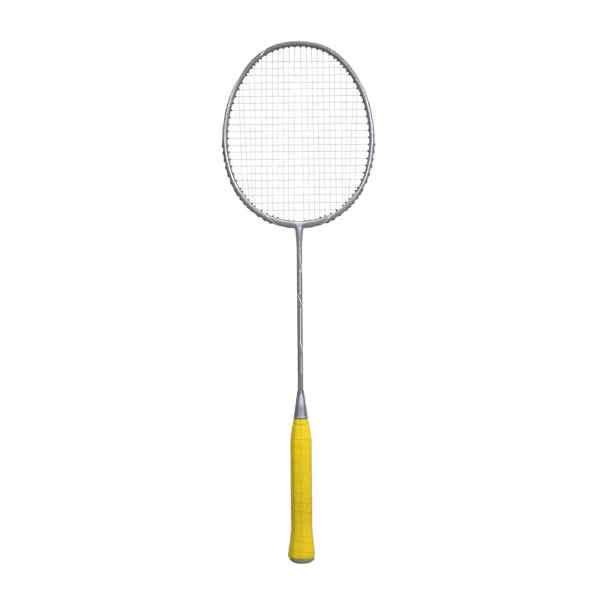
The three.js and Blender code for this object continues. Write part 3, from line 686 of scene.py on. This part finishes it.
# ---------------------------------------------------------------- grommet strips
def build_strip(i, side):
    first, last = STRIPS[i]
    V, F, tone = [], [], []

    def add(v, f, value=0.0):
        base = sum(len(a) for a in V)
        V.append(np.asarray(v, float))
        F.extend([[q + base for q in face] for face in f])
        tone.append(np.full(len(v), value) if np.isscalar(value) else value)

    # band that lies in the groove
    ta, tb = HOLES[first]["out"] - 1.7 / 110, HOLES[last]["out"] + 1.7 / 110
    n = max(8, int((tb - ta) * 115 / 0.9))
    t = np.linspace(ta, tb, n)
    sec = [(-1.48, -0.95), (-1.42, -1.12), (-1.2, -1.2), (-0.92, -1.15), (-0.78, -0.95), (-0.74, -0.4), (-0.74, 0.4),
           (-0.78, 0.95), (-0.92, 1.15), (-1.2, 1.2), (-1.42, 1.12), (-1.48, 0.95)]
    w = half(t)
    rows = np.stack([ring(t, w + a, np.full(n, b)) for a, b in sec], 1)
    q = len(sec)
    v = rows.reshape(-1, 3)
    f = grid_faces(n, q, close_v=True)
    f += [list(range(q))[::-1], [(n - 1) * q + j for j in range(q)]]
    add(v, f)
    for k in range(first, last + 1):
        h = HOLES[k]
        ro, ri = (1.4, 0.92) if h["shared"] else (1.2, 0.55)
        d = np.array([h["dx"], 0, h["dz"]])
        a = np.array([0.0, 1.0, 0.0])
        b = np.cross(d, a)
        w0 = h["w"] * h["scale"]
        far = math.degrees(h["out"])
        tip = -w0 - (0.2 if far > 166 else 1.35)
        prof = [(-w0 + 1.6, ro - 0.05), (-w0 - 0.1, ro), (tip + 0.35, ro - 0.02), (tip + 0.12, ro - 0.1),
                (tip, ro - 0.24), (tip + 0.02, ri + 0.06), (tip + 0.2, ri), (-w0 + 1.6, ri)]
        m = 18
        ang = np.linspace(0, 2 * np.pi, m, endpoint=False)
        c0 = np.array([h["x"], 0, h["z"]])
        v = np.array([[c0 + d * s + (a * math.cos(g) + b * math.sin(g)) * r for g in ang] for s, r in prof]).reshape(-1, 3)
        add(v, grid_faces(len(prof), m, close_u=True, close_v=True))
        # the barrel's outer mouth, flush in the band
        s0 = w0 - 0.76 * h["scale"]
        prof = [(s0 - 0.6, ro), (s0 + 0.02, ro), (s0 + 0.12, ro - 0.1), (s0 + 0.12, ri + 0.08), (s0, ri), (s0 - 0.6, ri)]
        v = np.array([[c0 + d * s + (a * math.cos(g) + b * math.sin(g)) * r for g in ang] for s, r in prof]).reshape(-1, 3)
        add(v, grid_faces(len(prof), m, close_u=True, close_v=True))
        deg = math.degrees(h["out"])
        if 97 < deg < 163.5:
            # raised saddle over the outer edge at each eyelet
            L = 2.35
            us = np.sin(np.linspace(-np.pi / 2, np.pi / 2, 15)) * L
            across = [(-3.0, -0.25), (-2.75, 0.35), (-2.2, 0.82), (-1.6, 1.0), (-1.25, 0.86), (-1.08, 0.45), (-1.0, -0.35),
                      (0.0, -0.6), (1.0, -0.35), (1.08, 0.45), (1.25, 0.86), (1.6, 1.0), (2.2, 0.82), (2.75, 0.35), (3.0, -0.25)]
            rows = []
            for uu in us:
                tt = h["out"] + uu / 112
                k1 = max(0.0, 1 - (abs(uu) / L) ** 2.6) ** 0.5
                row = []
                for yy, hh in across:
                    top = hh * k1 if hh > 0 else hh
                    drop = 0.10 * max(0, abs(yy) - 1.6) ** 2
                    row.append(ring(tt, float(half(tt)) + 0.12 * k1 - drop + top * 1.05 - (1 - k1) * 0.35, yy * (0.86 + 0.14 * k1)))
                for yy in (2.2, 0.0, -2.2):
                    row.append(ring(tt, float(half(tt)) - 1.9, yy))
                rows.append(row)
            rows = np.array(rows)
            q = rows.shape[1]
            f = grid_faces(len(us), q, close_v=True)
            f += [list(range(q))[::-1], [(len(us) - 1) * q + j for j in range(q)]]
            add(rows.reshape(-1, 3), f, 1.0)
    verts = np.concatenate(V)
    verts[:, 0] *= side
    name = f"{'right' if side > 0 else 'left'}_{i + 1}"
    obj = make_object(f"eyelet_strip_{name}", verts, F, {"saddle": np.concatenate(tone)})
    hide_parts(f"grommets_{name}")
    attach(obj, "root")
    return obj


p = Paint("eyelet_nylon", roughness=0.55)
tone = p.mix(p.step(p.noise(240, 4, 0.6), 0.35, 0.65), lin(17, 16, 18), lin(28, 27, 29))
tone = p.mix(p.math("MULTIPLY", p.attr("saddle"), 0.9), tone, lin(88, 87, 91))
p.colour(tone)
p.roughness(p.span(p.noise(500, 3), 0.3, 0.7, 0.45, 0.65))
p.bump(p.noise(1500, 3), 0.00003, 0.6)
for i in range(len(STRIPS)):
    for side in (1, -1):
        p.give(build_strip(i, side), "grommet_nylon")


# ---------------------------------------------------------------- strings
mainTop, mainFoot, crossEnd = {}, {}, {}
for k, (_, main, cross) in enumerate(EYELETS):
    if main > 0:
        mainTop[main] = k
    if main < 0:
        mainFoot[-main] = k
    if cross:
        crossEnd[cross] = k
RUN = 0.6
WAVE = 0.37


def out_level(t):
    d = abs(math.degrees(t))
    return float(half(t)) - 0.2 + 0.3 * float(sstep(92, 98, d)) * (1 - float(sstep(160, 165, d)))


def leave(k, way, y):
    h = HOLES[k]
    y_in = math.copysign(0.4, y) if h["shared"] else 0.0
    level = out_level(h["out"])
    r = 112
    return [h["at"](-h["w"] - 1.2, y_in), h["at"](0.0, y_in), h["at"](h["w"] - 1.2, y_in),
            ring(h["out"] + way * 0.35 / r, level - 0.28, (y + y_in) / 2),
            ring(h["out"] + way * 1.2 / r, level, y)]


def outside(k0, k1, y):
    t0, t1 = HOLES[k0]["out"], HOLES[k1]["out"]
    n = max(2, int(math.ceil(abs(t1 - t0) * 113 / 2.2)))
    return [ring(t0 + (t1 - t0) * i / n, out_level(t0 + (t1 - t0) * i / n), y) for i in range(1, n)]


def inner(k):
    h = HOLES[k]
    q = h["at"](-h["w"] - 0.9)
    return q[0], q[2]


def crossings():
    """(m, c) -> x, z of the crossing on the right side, and the face that the cross passes on there"""
    found = {}
    for c in range(1, 23):
        end, z = inner(crossEnd[c])
        for m in range(1, 12):
            tx, tz = inner(mainTop[m])
            fx, fz = inner(mainFoot[m])
            if z > tz - 0.8 or z < fz + 0.8:
                continue
            x = fx + (tx - fx) * (z - fz) / (tz - fz)
            if x > end - 1:
                continue
            found[m, c] = (x, z, 1 if (m + c) % 2 else -1)
    return found


CROSSINGS = crossings()


def flip(points, s):
    return [np.array([q[0] * s, q[1], q[2]]) for q in points]


right = [ring(0.0, out_level(0.0), RUN)]
for m in range(1, 12):
    down = m % 2 == 1
    k_in, k_out = (mainTop[m], mainFoot[m]) if down else (mainFoot[m], mainTop[m])
    way = -1 if down else 1
    enter = leave(k_in, way, RUN)[::-1]
    go = leave(k_out, way, RUN)
    # heading away from the previous main, it leaves towards the next one
    go = leave(k_out, -1 if down else 1, RUN)
    mid = [np.array([x, -WAVE * s, z]) for (mm, c), (x, z, s) in CROSSINGS.items() if mm == m]
    mid.sort(key=lambda q: -q[2] if down else q[2])
    right += enter + mid + go
    if m < 11:
        right += outside(k_out, mainFoot[m + 1] if down else mainTop[m + 1], RUN)
tail = HOLES[mainFoot[11]]
right.append(ring(tail["out"] - 4.5 / 112, out_level(tail["out"]), RUN))
# on the left side the weave is the other way round
left = []
for q in right[1:][::-1]:
    left.append(np.array([-q[0], q[1], q[2]]))
bed = {(round(x, 6), round(z, 6)) for x, z, _ in CROSSINGS.values()}
left = [np.array([q[0], -q[1], q[2]]) if (round(-q[0], 6), round(q[2], 6)) in bed else q for q in left]
mains = left + right

crosses = []
for c in range(1, 23):
    s = 1 if c % 2 == 1 else -1
    k = crossEnd[c]
    enter = flip(leave(k, -1, -RUN), -s)[::-1]
    go = flip(leave(k, 1, -RUN), s)
    if c == 1:
        crosses += flip([ring(HOLES[k]["out"] - 4.5 / 112, out_level(HOLES[k]["out"]), -RUN)], -s)
    mid = []
    for (m, cc), (x, z, f) in CROSSINGS.items():
        if cc == c:
            mid += [np.array([x, WAVE * f, z]), np.array([-x, -WAVE * f, z])]
    mid.sort(key=lambda q: s * q[0])
    crosses += enter + mid + go
    if c < 22:
        crosses += flip(outside(k, crossEnd[c + 1], -RUN), s)
    else:
        crosses += flip([ring(HOLES[k]["out"] + 4.5 / 112, out_level(HOLES[k]["out"]), -RUN)], s)


def curve_through(points, step=1.15):
    """centripetal Catmull-Rom curve through the points, sampled about every step mm"""
    P = [np.asarray(q, float) for q in points]
    clean = [P[0]]
    for q in P[1:]:
        if np.linalg.norm(q - clean[-1]) > 0.08:
            clean.append(q)
    P = clean
    P = [2 * P[0] - P[1]] + P + [2 * P[-1] - P[-2]]
    out = []
    for i in range(1, len(P) - 2):
        p0, p1, p2, p3 = P[i - 1], P[i], P[i + 1], P[i + 2]
        d1, d2, d3 = (max(1e-6, np.linalg.norm(b - a)) ** 0.5 for a, b in ((p0, p1), (p1, p2), (p2, p3)))
        length = d2 * d2
        n = max(3, int(round(length / step)))
        m1 = (p1 - p0) / d1 - (p2 - p0) / (d1 + d2) + (p2 - p1) / d2
        m2 = (p2 - p1) / d2 - (p3 - p1) / (d2 + d3) + (p3 - p2) / d3
        m1, m2 = m1 * d2, m2 * d2
        for j in range(n):
            u = j / n
            out.append((2 * u ** 3 - 3 * u ** 2 + 1) * p1 + (u ** 3 - 2 * u ** 2 + u) * m1
                       + (-2 * u ** 3 + 3 * u ** 2) * p2 + (u ** 3 - u ** 2) * m2)
    out.append(P[-2])
    return np.array(out)


def tube(name, points, radius, sides=8):
    c = curve_through(points)
    d = np.gradient(c, axis=0)
    d /= np.linalg.norm(d, axis=1)[:, None]
    n = np.zeros_like(c)
    n[0] = np.cross(d[0], [0, 1, 0])
    n[0] /= np.linalg.norm(n[0])
    for i in range(1, len(c)):
        v = n[i - 1] - d[i] * np.dot(n[i - 1], d[i])
        n[i] = v / np.linalg.norm(v)
    b = np.cross(d, n)
    ang = np.linspace(0, 2 * np.pi, sides, endpoint=False)
    v = c[:, None] + radius * (n[:, None] * np.cos(ang)[None, :, None] + b[:, None] * np.sin(ang)[None, :, None])
    f = grid_faces(len(c), sides, close_v=True)
    f += [list(range(sides))[::-1], [(len(c) - 1) * sides + j for j in range(sides)]]
    along = np.concatenate([[0], np.cumsum(np.linalg.norm(np.diff(c, axis=0), axis=1))])
    return make_object(name, v.reshape(-1, 3), f, {"along": np.repeat(along, sides), "round": np.tile(ang, len(c)),
                                                   "shadow_near_top": sstep(632, 662, v.reshape(-1, 3)[:, 2])})


main_strings = tube("strings_main", mains, STRING_R)
cross_strings = tube("strings_cross", crosses, STRING_R)
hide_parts("main_string")
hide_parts("cross_string")
for obj in (main_strings, cross_strings):
    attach(obj, "root")
# painted shade: the crosses are painted a darker grey than the mains
for obj, name, low, high in ((main_strings, "string_nylon_mains", (212, 209, 205), (222, 220, 217)),
                             (cross_strings, "string_nylon_crosses", (184, 181, 176), (204, 201, 197))):
    p = Paint(name, roughness=0.34, Coat_Weight=0.25, Coat_Roughness=0.2)
    tint = p.mix(p.step(p.noise(60, 3), 0.35, 0.65), lin(*low), lin(*high))
    twist = p.math("SINE", p.math("ADD", p.math("MULTIPLY", p.attr("along"), 5.2), p.attr("round")))
    tint = p.mix(p.span(twist, -1, 1, 0.0, 0.12), tint, lin(172, 168, 163))
    # painted shadow: the strings darker near the top of the head
    tint = p.mix(p.math("MULTIPLY", p.attr("shadow_near_top"), 0.6), tint, lin(158, 150, 148))
    p.colour(tint)
    p.roughness(p.span(p.noise(300, 2), 0.3, 0.7, 0.28, 0.42))
    p.bump(twist, 0.00002, 0.5)
    p.give(obj, "string_nylon")


# ---------------------------------------------------------------- handle wrap
VERTICES = []
for k in range(8):
    g = math.radians(22.5 + 45 * k)
    vx, vy = math.sin(g), math.cos(g)
    if abs(vx) < abs(vy):
        vx *= 1.1
    VERTICES.append((vx * math.cos(TURN) - vy * math.sin(TURN), vx * math.sin(TURN) + vy * math.cos(TURN)))
FACETS = []
for k in range(8):
    (ax, ay), (bx, by) = VERTICES[k], VERTICES[(k + 1) % 8]
    nx, ny = by - ay, ax - bx
    l = math.hypot(nx, ny)
    nx, ny = nx / l, ny / l
    h = ax * nx + ay * ny
    if h < 0:
        nx, ny, h = -nx, -ny, -h
    FACETS.append((math.atan2(ny, nx), h))


def octagon(phi, power):
    """radius of a unit handle section with rounded corners, by angle from +X"""
    total = np.zeros_like(phi)
    for g, h in FACETS:
        total += (np.maximum(0, np.cos(phi - g)) / h) ** power
    return total ** (-1 / power)


# wrap edges up the front centre line, as heights in mm
def real_height(y_image, r=13.5):
    z = 341 + (300 - y_image) * 1.2924
    return 341 + (z - 341) * (1 - r / 1900)


SEAM_ROWS = [552.9, 542.5, 533.2, 523.4, 512.8, 503.7, 494.0, 484.2, 474.5, 464.7, 455.9, 448.3, 440.2, 430.7, 425.3]
SEAMS = [real_height(v) for v in SEAM_ROWS]
SEAM_T = np.arange(len(SEAMS), dtype=float)
SEAM_FORCE = [1.0, 0.55, 0.35, 0.3, 0.9, 0.9, 0.3, 0.25, 0.3, 0.3, 0.35, 0.6, 1.0, 0.55, 0.5]
lower_gap = SEAMS[1] - SEAMS[0]
upper_gap = 7.0
zs = np.array([SEAMS[0] - 2 * lower_gap, SEAMS[0] - lower_gap] + SEAMS + [SEAMS[-1] + upper_gap, SEAMS[-1] + 2 * upper_gap])
ts = np.concatenate([[-2, -1], SEAM_T, [SEAM_T[-1] + 1, SEAM_T[-1] + 2]])


def wrap_surface(phi, z):
    """radius of the wrapped grip, and the distance in mm above the nearest wrap edge below"""
    corner = table(GRIP, z)
    base = corner * octagon(phi, 24) * 1.022 + 0.62 * np.exp(-((z - 170.5) / 9.0) ** 2) + 0.12
    turn = (np.degrees(phi) + 90) / 360
    turn = turn - np.floor(turn + 0.25)    # the join of the angle lies at the back
    T = table(np.stack([zs, ts], 1), z) + turn
    wob = 0.035 * np.sin(phi * 2 + T * 2.1) + 0.02 * np.sin(phi * 5 + T * 1.3)
    f = T + wob
    f = f - np.floor(f)
    pitch = 1 / np.maximum(1e-3, np.gradient(np.interp(np.linspace(zs[0], zs[-1], 400), zs, ts), np.linspace(zs[0], zs[-1], 400)).mean())
    local = np.interp(z, (zs[1:] + zs[:-1]) / 2, np.diff(zs) / np.diff(ts))
    above = f * local                     # mm above the wrap edge
    below = (1 - f) * local               # mm below the next edge
    ends = sstep(7.2, 9.5, z) * (1 - sstep(178.5, 180.0, z))
    k = np.clip(np.floor(T + wob), -2, len(SEAMS) - 1)
    force = np.interp(k, np.arange(-2, len(SEAMS)), [0.8, 0.9] + SEAM_FORCE)          # the edge below this turn
    force_up = np.interp(k + 1, np.arange(-2, len(SEAMS)), [0.8, 0.9] + SEAM_FORCE)   # the edge above it
    rise = 0.11 + 0.18 * force
    step = rise * (1 - sstep(0.0, 1.0, f)) ** 0.8
    step = np.where(above < 0.6, rise * sstep(-0.05, 0.55, above), step)
    lip = 0.05 * force * np.exp(-((above - 0.9) / 0.6) ** 2)
    tuck = -0.10 * force_up * np.exp(-(below / 0.6) ** 2)
    r = base - 0.10 + (step + lip + tuck) * ends
    r_shift = -0.55 * (1 - sstep(8, 48, z)) * np.cos(phi)
    return r + r_shift, above, below, force_up, T


def build_overgrip():
    m = 144
    z_outer = np.concatenate([np.linspace(8.2, 179.9, 470), [180.1, 180.25]])
    phi = np.linspace(0, 2 * np.pi, m, endpoint=False)
    PH, Z = np.meshgrid(phi, z_outer)
    flat_phi, flat_z = PH.ravel(), Z.ravel()
    r, above, below, force_up, T = wrap_surface(flat_phi, flat_z)
    p0 = np.stack([13.9 * np.cos(flat_phi), 13.9 * np.sin(flat_phi), flat_z], 1)
    # ripples that run with the wrap's edge, strongest on the flare and near the foot
    slope = flat_z + 13.9 * (np.where(flat_phi > np.pi, flat_phi - 2 * np.pi, flat_phi)) * 0.14
    zone = 0.35 + 0.65 * np.exp(-((flat_z - 78) / 16) ** 2) + 0.8 * np.exp(-((flat_z - 26) / 12) ** 2) + 0.6 * np.exp(-((flat_z - 160) / 14) ** 2)
    patch = np.clip(0.5 + 0.8 * soft_noise(p0, 17, 3), 0, 1)
    ripple = 0.04 * zone * patch * np.sin(slope * 2 * np.pi / 2.3 + 1.4 * soft_noise(p0, 9, 4))
    crease = 0.05 * zone * np.clip(soft_noise(p0 * np.array([0.35, 0.35, 1.6]), 6, 5), -1, 1)
    pucker = 0.03 * np.sin(flat_phi * 19 + T * 5.1 + soft_noise(p0, 12, 8)) * np.exp(-(above / 1.6) ** 2)
    ends = sstep(8.2, 11, flat_z) * (1 - sstep(176, 179.5, flat_z))
    r = r + (ripple + crease + pucker) * ends
    # an extra fold a little above the second edge, on the front
    fold = np.exp(-((flat_z - real_height(536.4)) / 0.7) ** 2) * np.clip(np.cos(flat_phi + 1.3), 0, 1)
    r = r + 0.12 * fold
    tail = sstep(180.0, 180.2, flat_z)
    tape_r = table(GRIP, flat_z) * octagon(flat_phi, 26) * 1.004 - 0.62
    r = r * (1 - tail) + tape_r * tail
    outer = np.stack([r * np.cos(flat_phi), r * np.sin(flat_phi), flat_z], 1)
    # rolled foot
    foot = []
    foot_rows = [(8.35, 0.06), (7.75, 0.30), (7.35, 0.72), (7.2, 1.25), (7.2, 1.9), (7.3, 2.3)]
    edge = table(GRIP, 8.8) * octagon(phi, 24) * 1.022 + 0.02 - 0.55 * np.cos(phi)
    for zf, dr in foot_rows[1:]:
        wave = 0.07 * np.sin(phi * 7 + 0.6) + 0.05 * np.sin(phi * 17 + 2)
        rr = edge - dr * 0.62 + wave * 0.6
        foot.append(np.stack([rr * np.cos(phi), rr * np.sin(phi), np.full(m, zf) + wave * (1 if zf < 7.6 else 0.5) * 0.5 + 0.03], 1))
    foot = foot[::-1]
    top = []
    for zt in (183.4, 186.45):
        rr = table(GRIP, zt) * octagon(phi, 26) - 0.62
        top.append(np.stack([rr * np.cos(phi), rr * np.sin(phi), np.full(m, zt)], 1))
    for zt in (186.45, 181.0):
        rr = table(GRIP, zt) * octagon(phi, 60) - 0.98
        top.append(np.stack([rr * np.cos(phi), rr * np.sin(phi), np.full(m, zt)], 1))
    inner_rows = []
    for zt in (165, 155, 120, 80, 45, 29, 18.5, 12, 9.0, 7.5):
        rr = table(GRIP, zt) * octagon(phi, 60) - 0.98
        inner_rows.append(np.stack([rr * np.cos(phi), rr * np.sin(phi), np.full(m, zt)], 1))
    rows = np.concatenate([*foot, outer.reshape(-1, 3), *top, *inner_rows])
    n = len(rows) // m
    faces = grid_faces(n, m, close_u=True, close_v=True)
    nf = len(foot) * m
    no = len(outer)
    n_rest = len(rows) - nf - no
    above_a = np.concatenate([np.full(nf, 4.0), above, np.full(n_rest, 4.0)])
    below_a = np.concatenate([np.full(nf, 4.0), below, np.full(n_rest, 4.0)])
    # painted light and grime: lighter towards the top as painted light, darker around the middle where the hand grips
    # as grime, and darker at the foot
    height_light_and_grime = table([(7, 0.88), (14, 0.93), (30, 0.94), (45, 0.93), (68, 0.86), (80, 0.88), (100, 0.95), (130, 1.0), (148, 1.06),
                    (158, 1.07), (165, 1.06), (187, 1.08)], rows[:, 2])
    seam_dirt_and_shade = np.concatenate([np.zeros(nf), force_up, np.zeros(n_rest)])
    obj = make_object("overgrip_wrap", rows, faces, {"seam_dirt_and_shade": seam_dirt_and_shade, "above": np.clip(above_a, 0, 9), "below": np.clip(below_a, 0, 9),
                                                     "tone": height_light_and_grime})
    return obj


wrap = build_overgrip()
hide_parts("overgrip")
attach(wrap, "root")
p = Paint("overgrip_yellow_pu", roughness=0.62, Sheen_Weight=0.05, Sheen_Roughness=0.4, Specular_IOR_Level=0.28)
mottle = p.noise(110, 4, 0.55)
speck = p.noise(900, 3, 0.6)
col = p.mix(p.step(mottle, 0.3, 0.72), lin(224, 192, 0), lin(231, 202, 6))
col = p.mix(p.math("MULTIPLY", p.step(speck, 0.55, 0.75), 0.12), col, lin(206, 172, 0))
# painted shade, with some dirt, in the seam just under each overlapping edge
seam_dirt_and_shade = p.math("MULTIPLY", p.math("SUBTRACT", 1.0, p.step(p.attr("below"), 0.1, 1.5)), p.attr("seam_dirt_and_shade"))
col = p.mix(p.math("MULTIPLY", seam_dirt_and_shade, 0.5), col, lin(206, 146, 0))
edge = p.math("SUBTRACT", 1.0, p.step(p.attr("above"), 0.15, 1.8))
col = p.mix(p.math("MULTIPLY", edge, 0.16), col, lin(242, 218, 30))
grime = p.step(p.noise(30, 4, 0.6), 0.5, 0.78)
col = p.mix(p.math("MULTIPLY", grime, 0.12), col, lin(196, 162, 20))
# painted light falloff and hand grime, by height
col = p.mix(1.0, col, p.attr("tone"), "MULTIPLY")
p.colour(col)
p.roughness(p.span(p.noise(420, 3), 0.3, 0.7, 0.55, 0.7))
p.bump(p.cells(1700), 0.00005, 0.5)
p.bump(p.noise(2600, 2), 0.00003, 0.5)
p.bump(p.noise(1.0, 3, 0.5, p.stretch(200, 200, 900)), 0.0001, 0.45)
p.give(wrap, "yellow_grip")


def build_tape():
    m = 144
    phi = np.linspace(0, 2 * np.pi, m, endpoint=False)
    rows = []
    outer = [(180.42, -0.28), (180.34, -0.1), (180.42, 0.02)] + [(z, 0.03 + 0.012 * math.sin(z * 3.1)) for z in np.linspace(180.7, 186.2, 18)] + \
            [(186.45, 0.02), (186.56, -0.08), (186.54, -0.3)]
    for z, d in outer:
        # the tape's own loose end makes a low step on the right
        lap = 0.09 * sstep(-0.05, 0.02, np.sin(phi - 0.35)) * sstep(-0.3, 0.2, np.cos(phi))
        rr = table(GRIP, min(z, 186.6)) * octagon(phi, 26) * 1.02 + 0.15 * float(sstep(187, 180.4, z)) + d + lap * (d > 0)
        rows.append(np.stack([rr * np.cos(phi), rr * np.sin(phi), np.full(m, z)], 1))
    for z in (186.3, 180.6):
        rr = table(GRIP, z) * octagon(phi, 26) * 1.004 - 0.42
        rows.append(np.stack([rr * np.cos(phi), rr * np.sin(phi), np.full(m, z)], 1))
    v = np.concatenate(rows)
    return make_object("finishing_band", v, grid_faces(len(rows), m, close_u=True, close_v=True))


tape = build_tape()
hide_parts("finishing_tape")
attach(tape, "root")
p = Paint("finishing_tape_yellow", roughness=0.42, Coat_Weight=0.15, Coat_Roughness=0.25, Specular_IOR_Level=0.35)
col = p.mix(p.step(p.noise(300, 4, 0.6), 0.3, 0.7), lin(222, 198, 8), lin(230, 208, 22))
col = p.mix(p.math("MULTIPLY", p.step(p.noise(1.0, 3, 0.6, p.stretch(700, 700, 90)), 0.5, 0.7), 0.2), col, lin(214, 186, 20))
p.colour(col)
p.roughness(p.span(p.noise(700, 3), 0.3, 0.7, 0.3, 0.46))
p.bump(p.noise(1.0, 2, 0.5, p.stretch(300, 300, 1500)), 0.00004, 0.5)
p.give(tape, "yellow_tape")


# ---------------------------------------------------------------- butt cap
def build_cap():
    rows = []
    # recessed plain disc inside a low ring on the butt face
    rows += [(0.45, 0.0), (0.45, 4.2), (0.43, 4.6), (0.3, 4.85), (0.1, 4.98), (0.02, 5.15), (0.0, 5.4), (0.0, 6.4)]
    for z in (0.02, 0.07, 0.15, 0.25, 0.35, 0.55, 0.8, 1.1, 1.45, 1.85, 2.3, 2.8, 3.3, 3.8, 4.3, 4.8, 5.4, 6.0, 6.5):
        rows.append((z, float(table(CAP, z)) - 0.02))
    rows += [(6.8, 16.15), (6.9, 15.8), (6.9, 5.2), (7.1, 5.0), (14.4, 4.95), (14.6, 4.7), (14.6, 0.0)]
    m = 112
    body = np.array(rows[1:-1])
    phi = np.linspace(0, 2 * np.pi, m, endpoint=False)
    v = np.stack([body[:, 1][:, None] * np.cos(phi), body[:, 1][:, None] * np.sin(phi), np.repeat(body[:, 0][:, None], m, 1)], -1).reshape(-1, 3)
    f = grid_faces(len(body), m, close_v=True)
    q = len(v)
    v = np.concatenate([v, [[0, 0, rows[0][0]], [0, 0, rows[-1][0]]]])
    f += [[q, (j + 1) % m, j] for j in range(m)]
    last = (len(body) - 1) * m
    f += [[q + 1, last + j, last + (j + 1) % m] for j in range(m)]
    return make_object("butt_cap_moulding", v, f)


cap = build_cap()
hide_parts("butt_cap")
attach(cap, "root")
p = Paint("butt_cap_plastic", roughness=0.5)
col = p.mix(p.step(p.noise(120, 4, 0.6), 0.3, 0.7), lin(128, 133, 110), lin(140, 145, 121))
col = p.mix(p.math("MULTIPLY", p.step(p.noise(1.0, 4, 0.65, p.stretch(600, 600, 600)), 0.6, 0.72), 0.3), col, lin(92, 95, 88))
p.colour(col)
p.roughness(p.span(p.noise(500, 3), 0.3, 0.7, 0.42, 0.6))
p.bump(p.noise(1800, 3), 0.00004, 0.6)
p.give(cap, "cap_plastic")


# ---------------------------------------------------------------- pieces that stay as the CAD has them
def carried(name, paint):
    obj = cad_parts[name]
    obj.data.materials.clear()
    obj.data.materials.append(paint.m)


p = Paint("insert_alloy", roughness=0.36, metallic=0.9)
p.colour(p.mix(p.noise(1.0, 3, 0.5, p.stretch(900, 900, 60)), lin(150, 153, 158), lin(186, 189, 194)))
p.roughness(p.span(p.noise(1.0, 3, 0.5, p.stretch(1200, 1200, 80)), 0.2, 0.8, 0.28, 0.46))
p.bump(p.noise(1.0, 2, 0.5, p.stretch(1500, 1500, 90)), 0.00003, 0.4)
carried("t_joint", p)
p = Paint("handle_beech", roughness=0.6)
grain = p.node("ShaderNodeTexWave", wave_type="RINGS", rings_direction="Z")
p.put(p.stretch(1, 1, 0.08), grain.inputs["Vector"])
grain.inputs["Scale"].default_value = 90
grain.inputs["Distortion"].default_value = 3.5
grain.inputs["Detail"].default_value = 3
p.colour(p.mix(grain.outputs["Fac"], lin(176, 132, 84), lin(206, 164, 112)))
p.bump(p.noise(1.0, 3, 0.6, p.stretch(1400, 1400, 60)), 0.00006, 0.5)
carried("handle_core", p)
p = Paint("base_grip_foam", roughness=0.85)
p.colour(p.mix(p.noise(500, 4), lin(36, 36, 38), lin(56, 55, 56)))
p.bump(p.cells(1500), 0.0001, 0.6)
carried("base_grip", p)
p = Paint("staple_steel", roughness=0.32, metallic=0.95)
p.colour(p.mix(p.noise(400, 3), lin(168, 169, 172), lin(200, 201, 204)))
p.roughness(p.span(p.noise(900, 3), 0.2, 0.8, 0.25, 0.45))
p.bump(p.noise(1200, 3), 0.00003, 0.5)
carried("grip_staple", p)


# ---------------------------------------------------------------- floor, surroundings and light
def stage_material(name, level):
    m = bpy.data.materials.new(name)
    m.use_nodes = True
    t = m.node_tree
    t.nodes.clear()
    e = t.nodes.new("ShaderNodeEmission")
    e.inputs["Color"].default_value = (level, level, level, 1)
    e.inputs["Strength"].default_value = 1.0
    o = t.nodes.new("ShaderNodeOutputMaterial")
    t.links.new(e.outputs[0], o.inputs["Surface"])
    return m


def stage_piece(name, verts, faces, level):
    mesh = bpy.data.meshes.new(name)
    mesh.from_pydata(verts, [], faces)
    obj = bpy.data.objects.new(name, mesh)
    bpy.context.scene.collection.objects.link(obj)
    mesh.materials.append(stage_material(name, level))
    obj.visible_diffuse = False
    obj.visible_glossy = False
    obj.visible_transmission = False
    obj.visible_shadow = False
    return obj


ring_n = 48
floor_v = [(0, 0, -0.0005)] + [(12 * math.cos(2 * math.pi * i / ring_n), 12 * math.sin(2 * math.pi * i / ring_n), -0.0005) for i in range(ring_n)]
stage_piece("floor", floor_v, [(0, 1 + i, 1 + (i + 1) % ring_n) for i in range(ring_n)], 1.0)
dome_v, dome_f = [], []
for a in range(13):
    e = math.pi / 2 * a / 12
    for b in range(ring_n):
        g = 2 * math.pi * b / ring_n
        dome_v.append((12 * math.cos(e) * math.cos(g), 12 * math.cos(e) * math.sin(g), 12 * math.sin(e) - 0.01))
for a in range(12):
    for b in range(ring_n):
        dome_f.append((a * ring_n + b, a * ring_n + (b + 1) % ring_n, (a + 1) * ring_n + (b + 1) % ring_n, (a + 1) * ring_n + b))
stage_piece("backdrop", dome_v, dome_f, 1.0)

world = bpy.data.worlds.new("studio")
bpy.context.scene.world = world
world.use_nodes = True
wt = world.node_tree
wt.nodes.clear()
geo = wt.nodes.new("ShaderNodeTexCoord")
dot = wt.nodes.new("ShaderNodeVectorMath")
dot.operation = "DOT_PRODUCT"
direction = Vector((0.36, -0.22, 0.90)).normalized()
dot.inputs[1].default_value = direction
wt.links.new(geo.outputs["Generated"], dot.inputs[0])
ramp = wt.nodes.new("ShaderNodeMapRange")
ramp.interpolation_type = "SMOOTHSTEP"
ramp.inputs["From Min"].default_value = -0.9
ramp.inputs["From Max"].default_value = 0.9
ramp.inputs["To Min"].default_value = 0.30
ramp.inputs["To Max"].default_value = 0.66
wt.links.new(dot.outputs["Value"], ramp.inputs["Value"])
back = wt.nodes.new("ShaderNodeBackground")
back.inputs["Color"].default_value = (1.0, 1.0, 1.0, 1)
wt.links.new(ramp.outputs["Result"], back.inputs["Strength"])
wo = wt.nodes.new("ShaderNodeOutputWorld")
wt.links.new(back.outputs[0], wo.inputs["Surface"])


def area_light(name, place, target, size, power):
    data = bpy.data.lights.new(name, "AREA")
    data.shape = "SQUARE"
    data.size = size
    data.energy = power
    obj = bpy.data.objects.new(name, data)
    bpy.context.scene.collection.objects.link(obj)
    obj.location = place
    obj.rotation_euler = (Vector(target) - Vector(place)).to_track_quat("-Z", "Y").to_euler()
    obj.visible_camera = False
    return obj


area_light("key", (0.85, -2.05, 1.15), (0, 0, 0.35), 1.3, 36)
area_light("overhead", (0.3, 0.4, 2.6), (0, 0, 0.5), 1.2, 8)
area_light("back_fill", (-0.5, 2.0, 1.5), (0, 0, 0.35), 1.4, 30)

bpy.context.scene.view_settings.view_transform = "Standard"
bpy.context.scene.view_settings.look = "None"
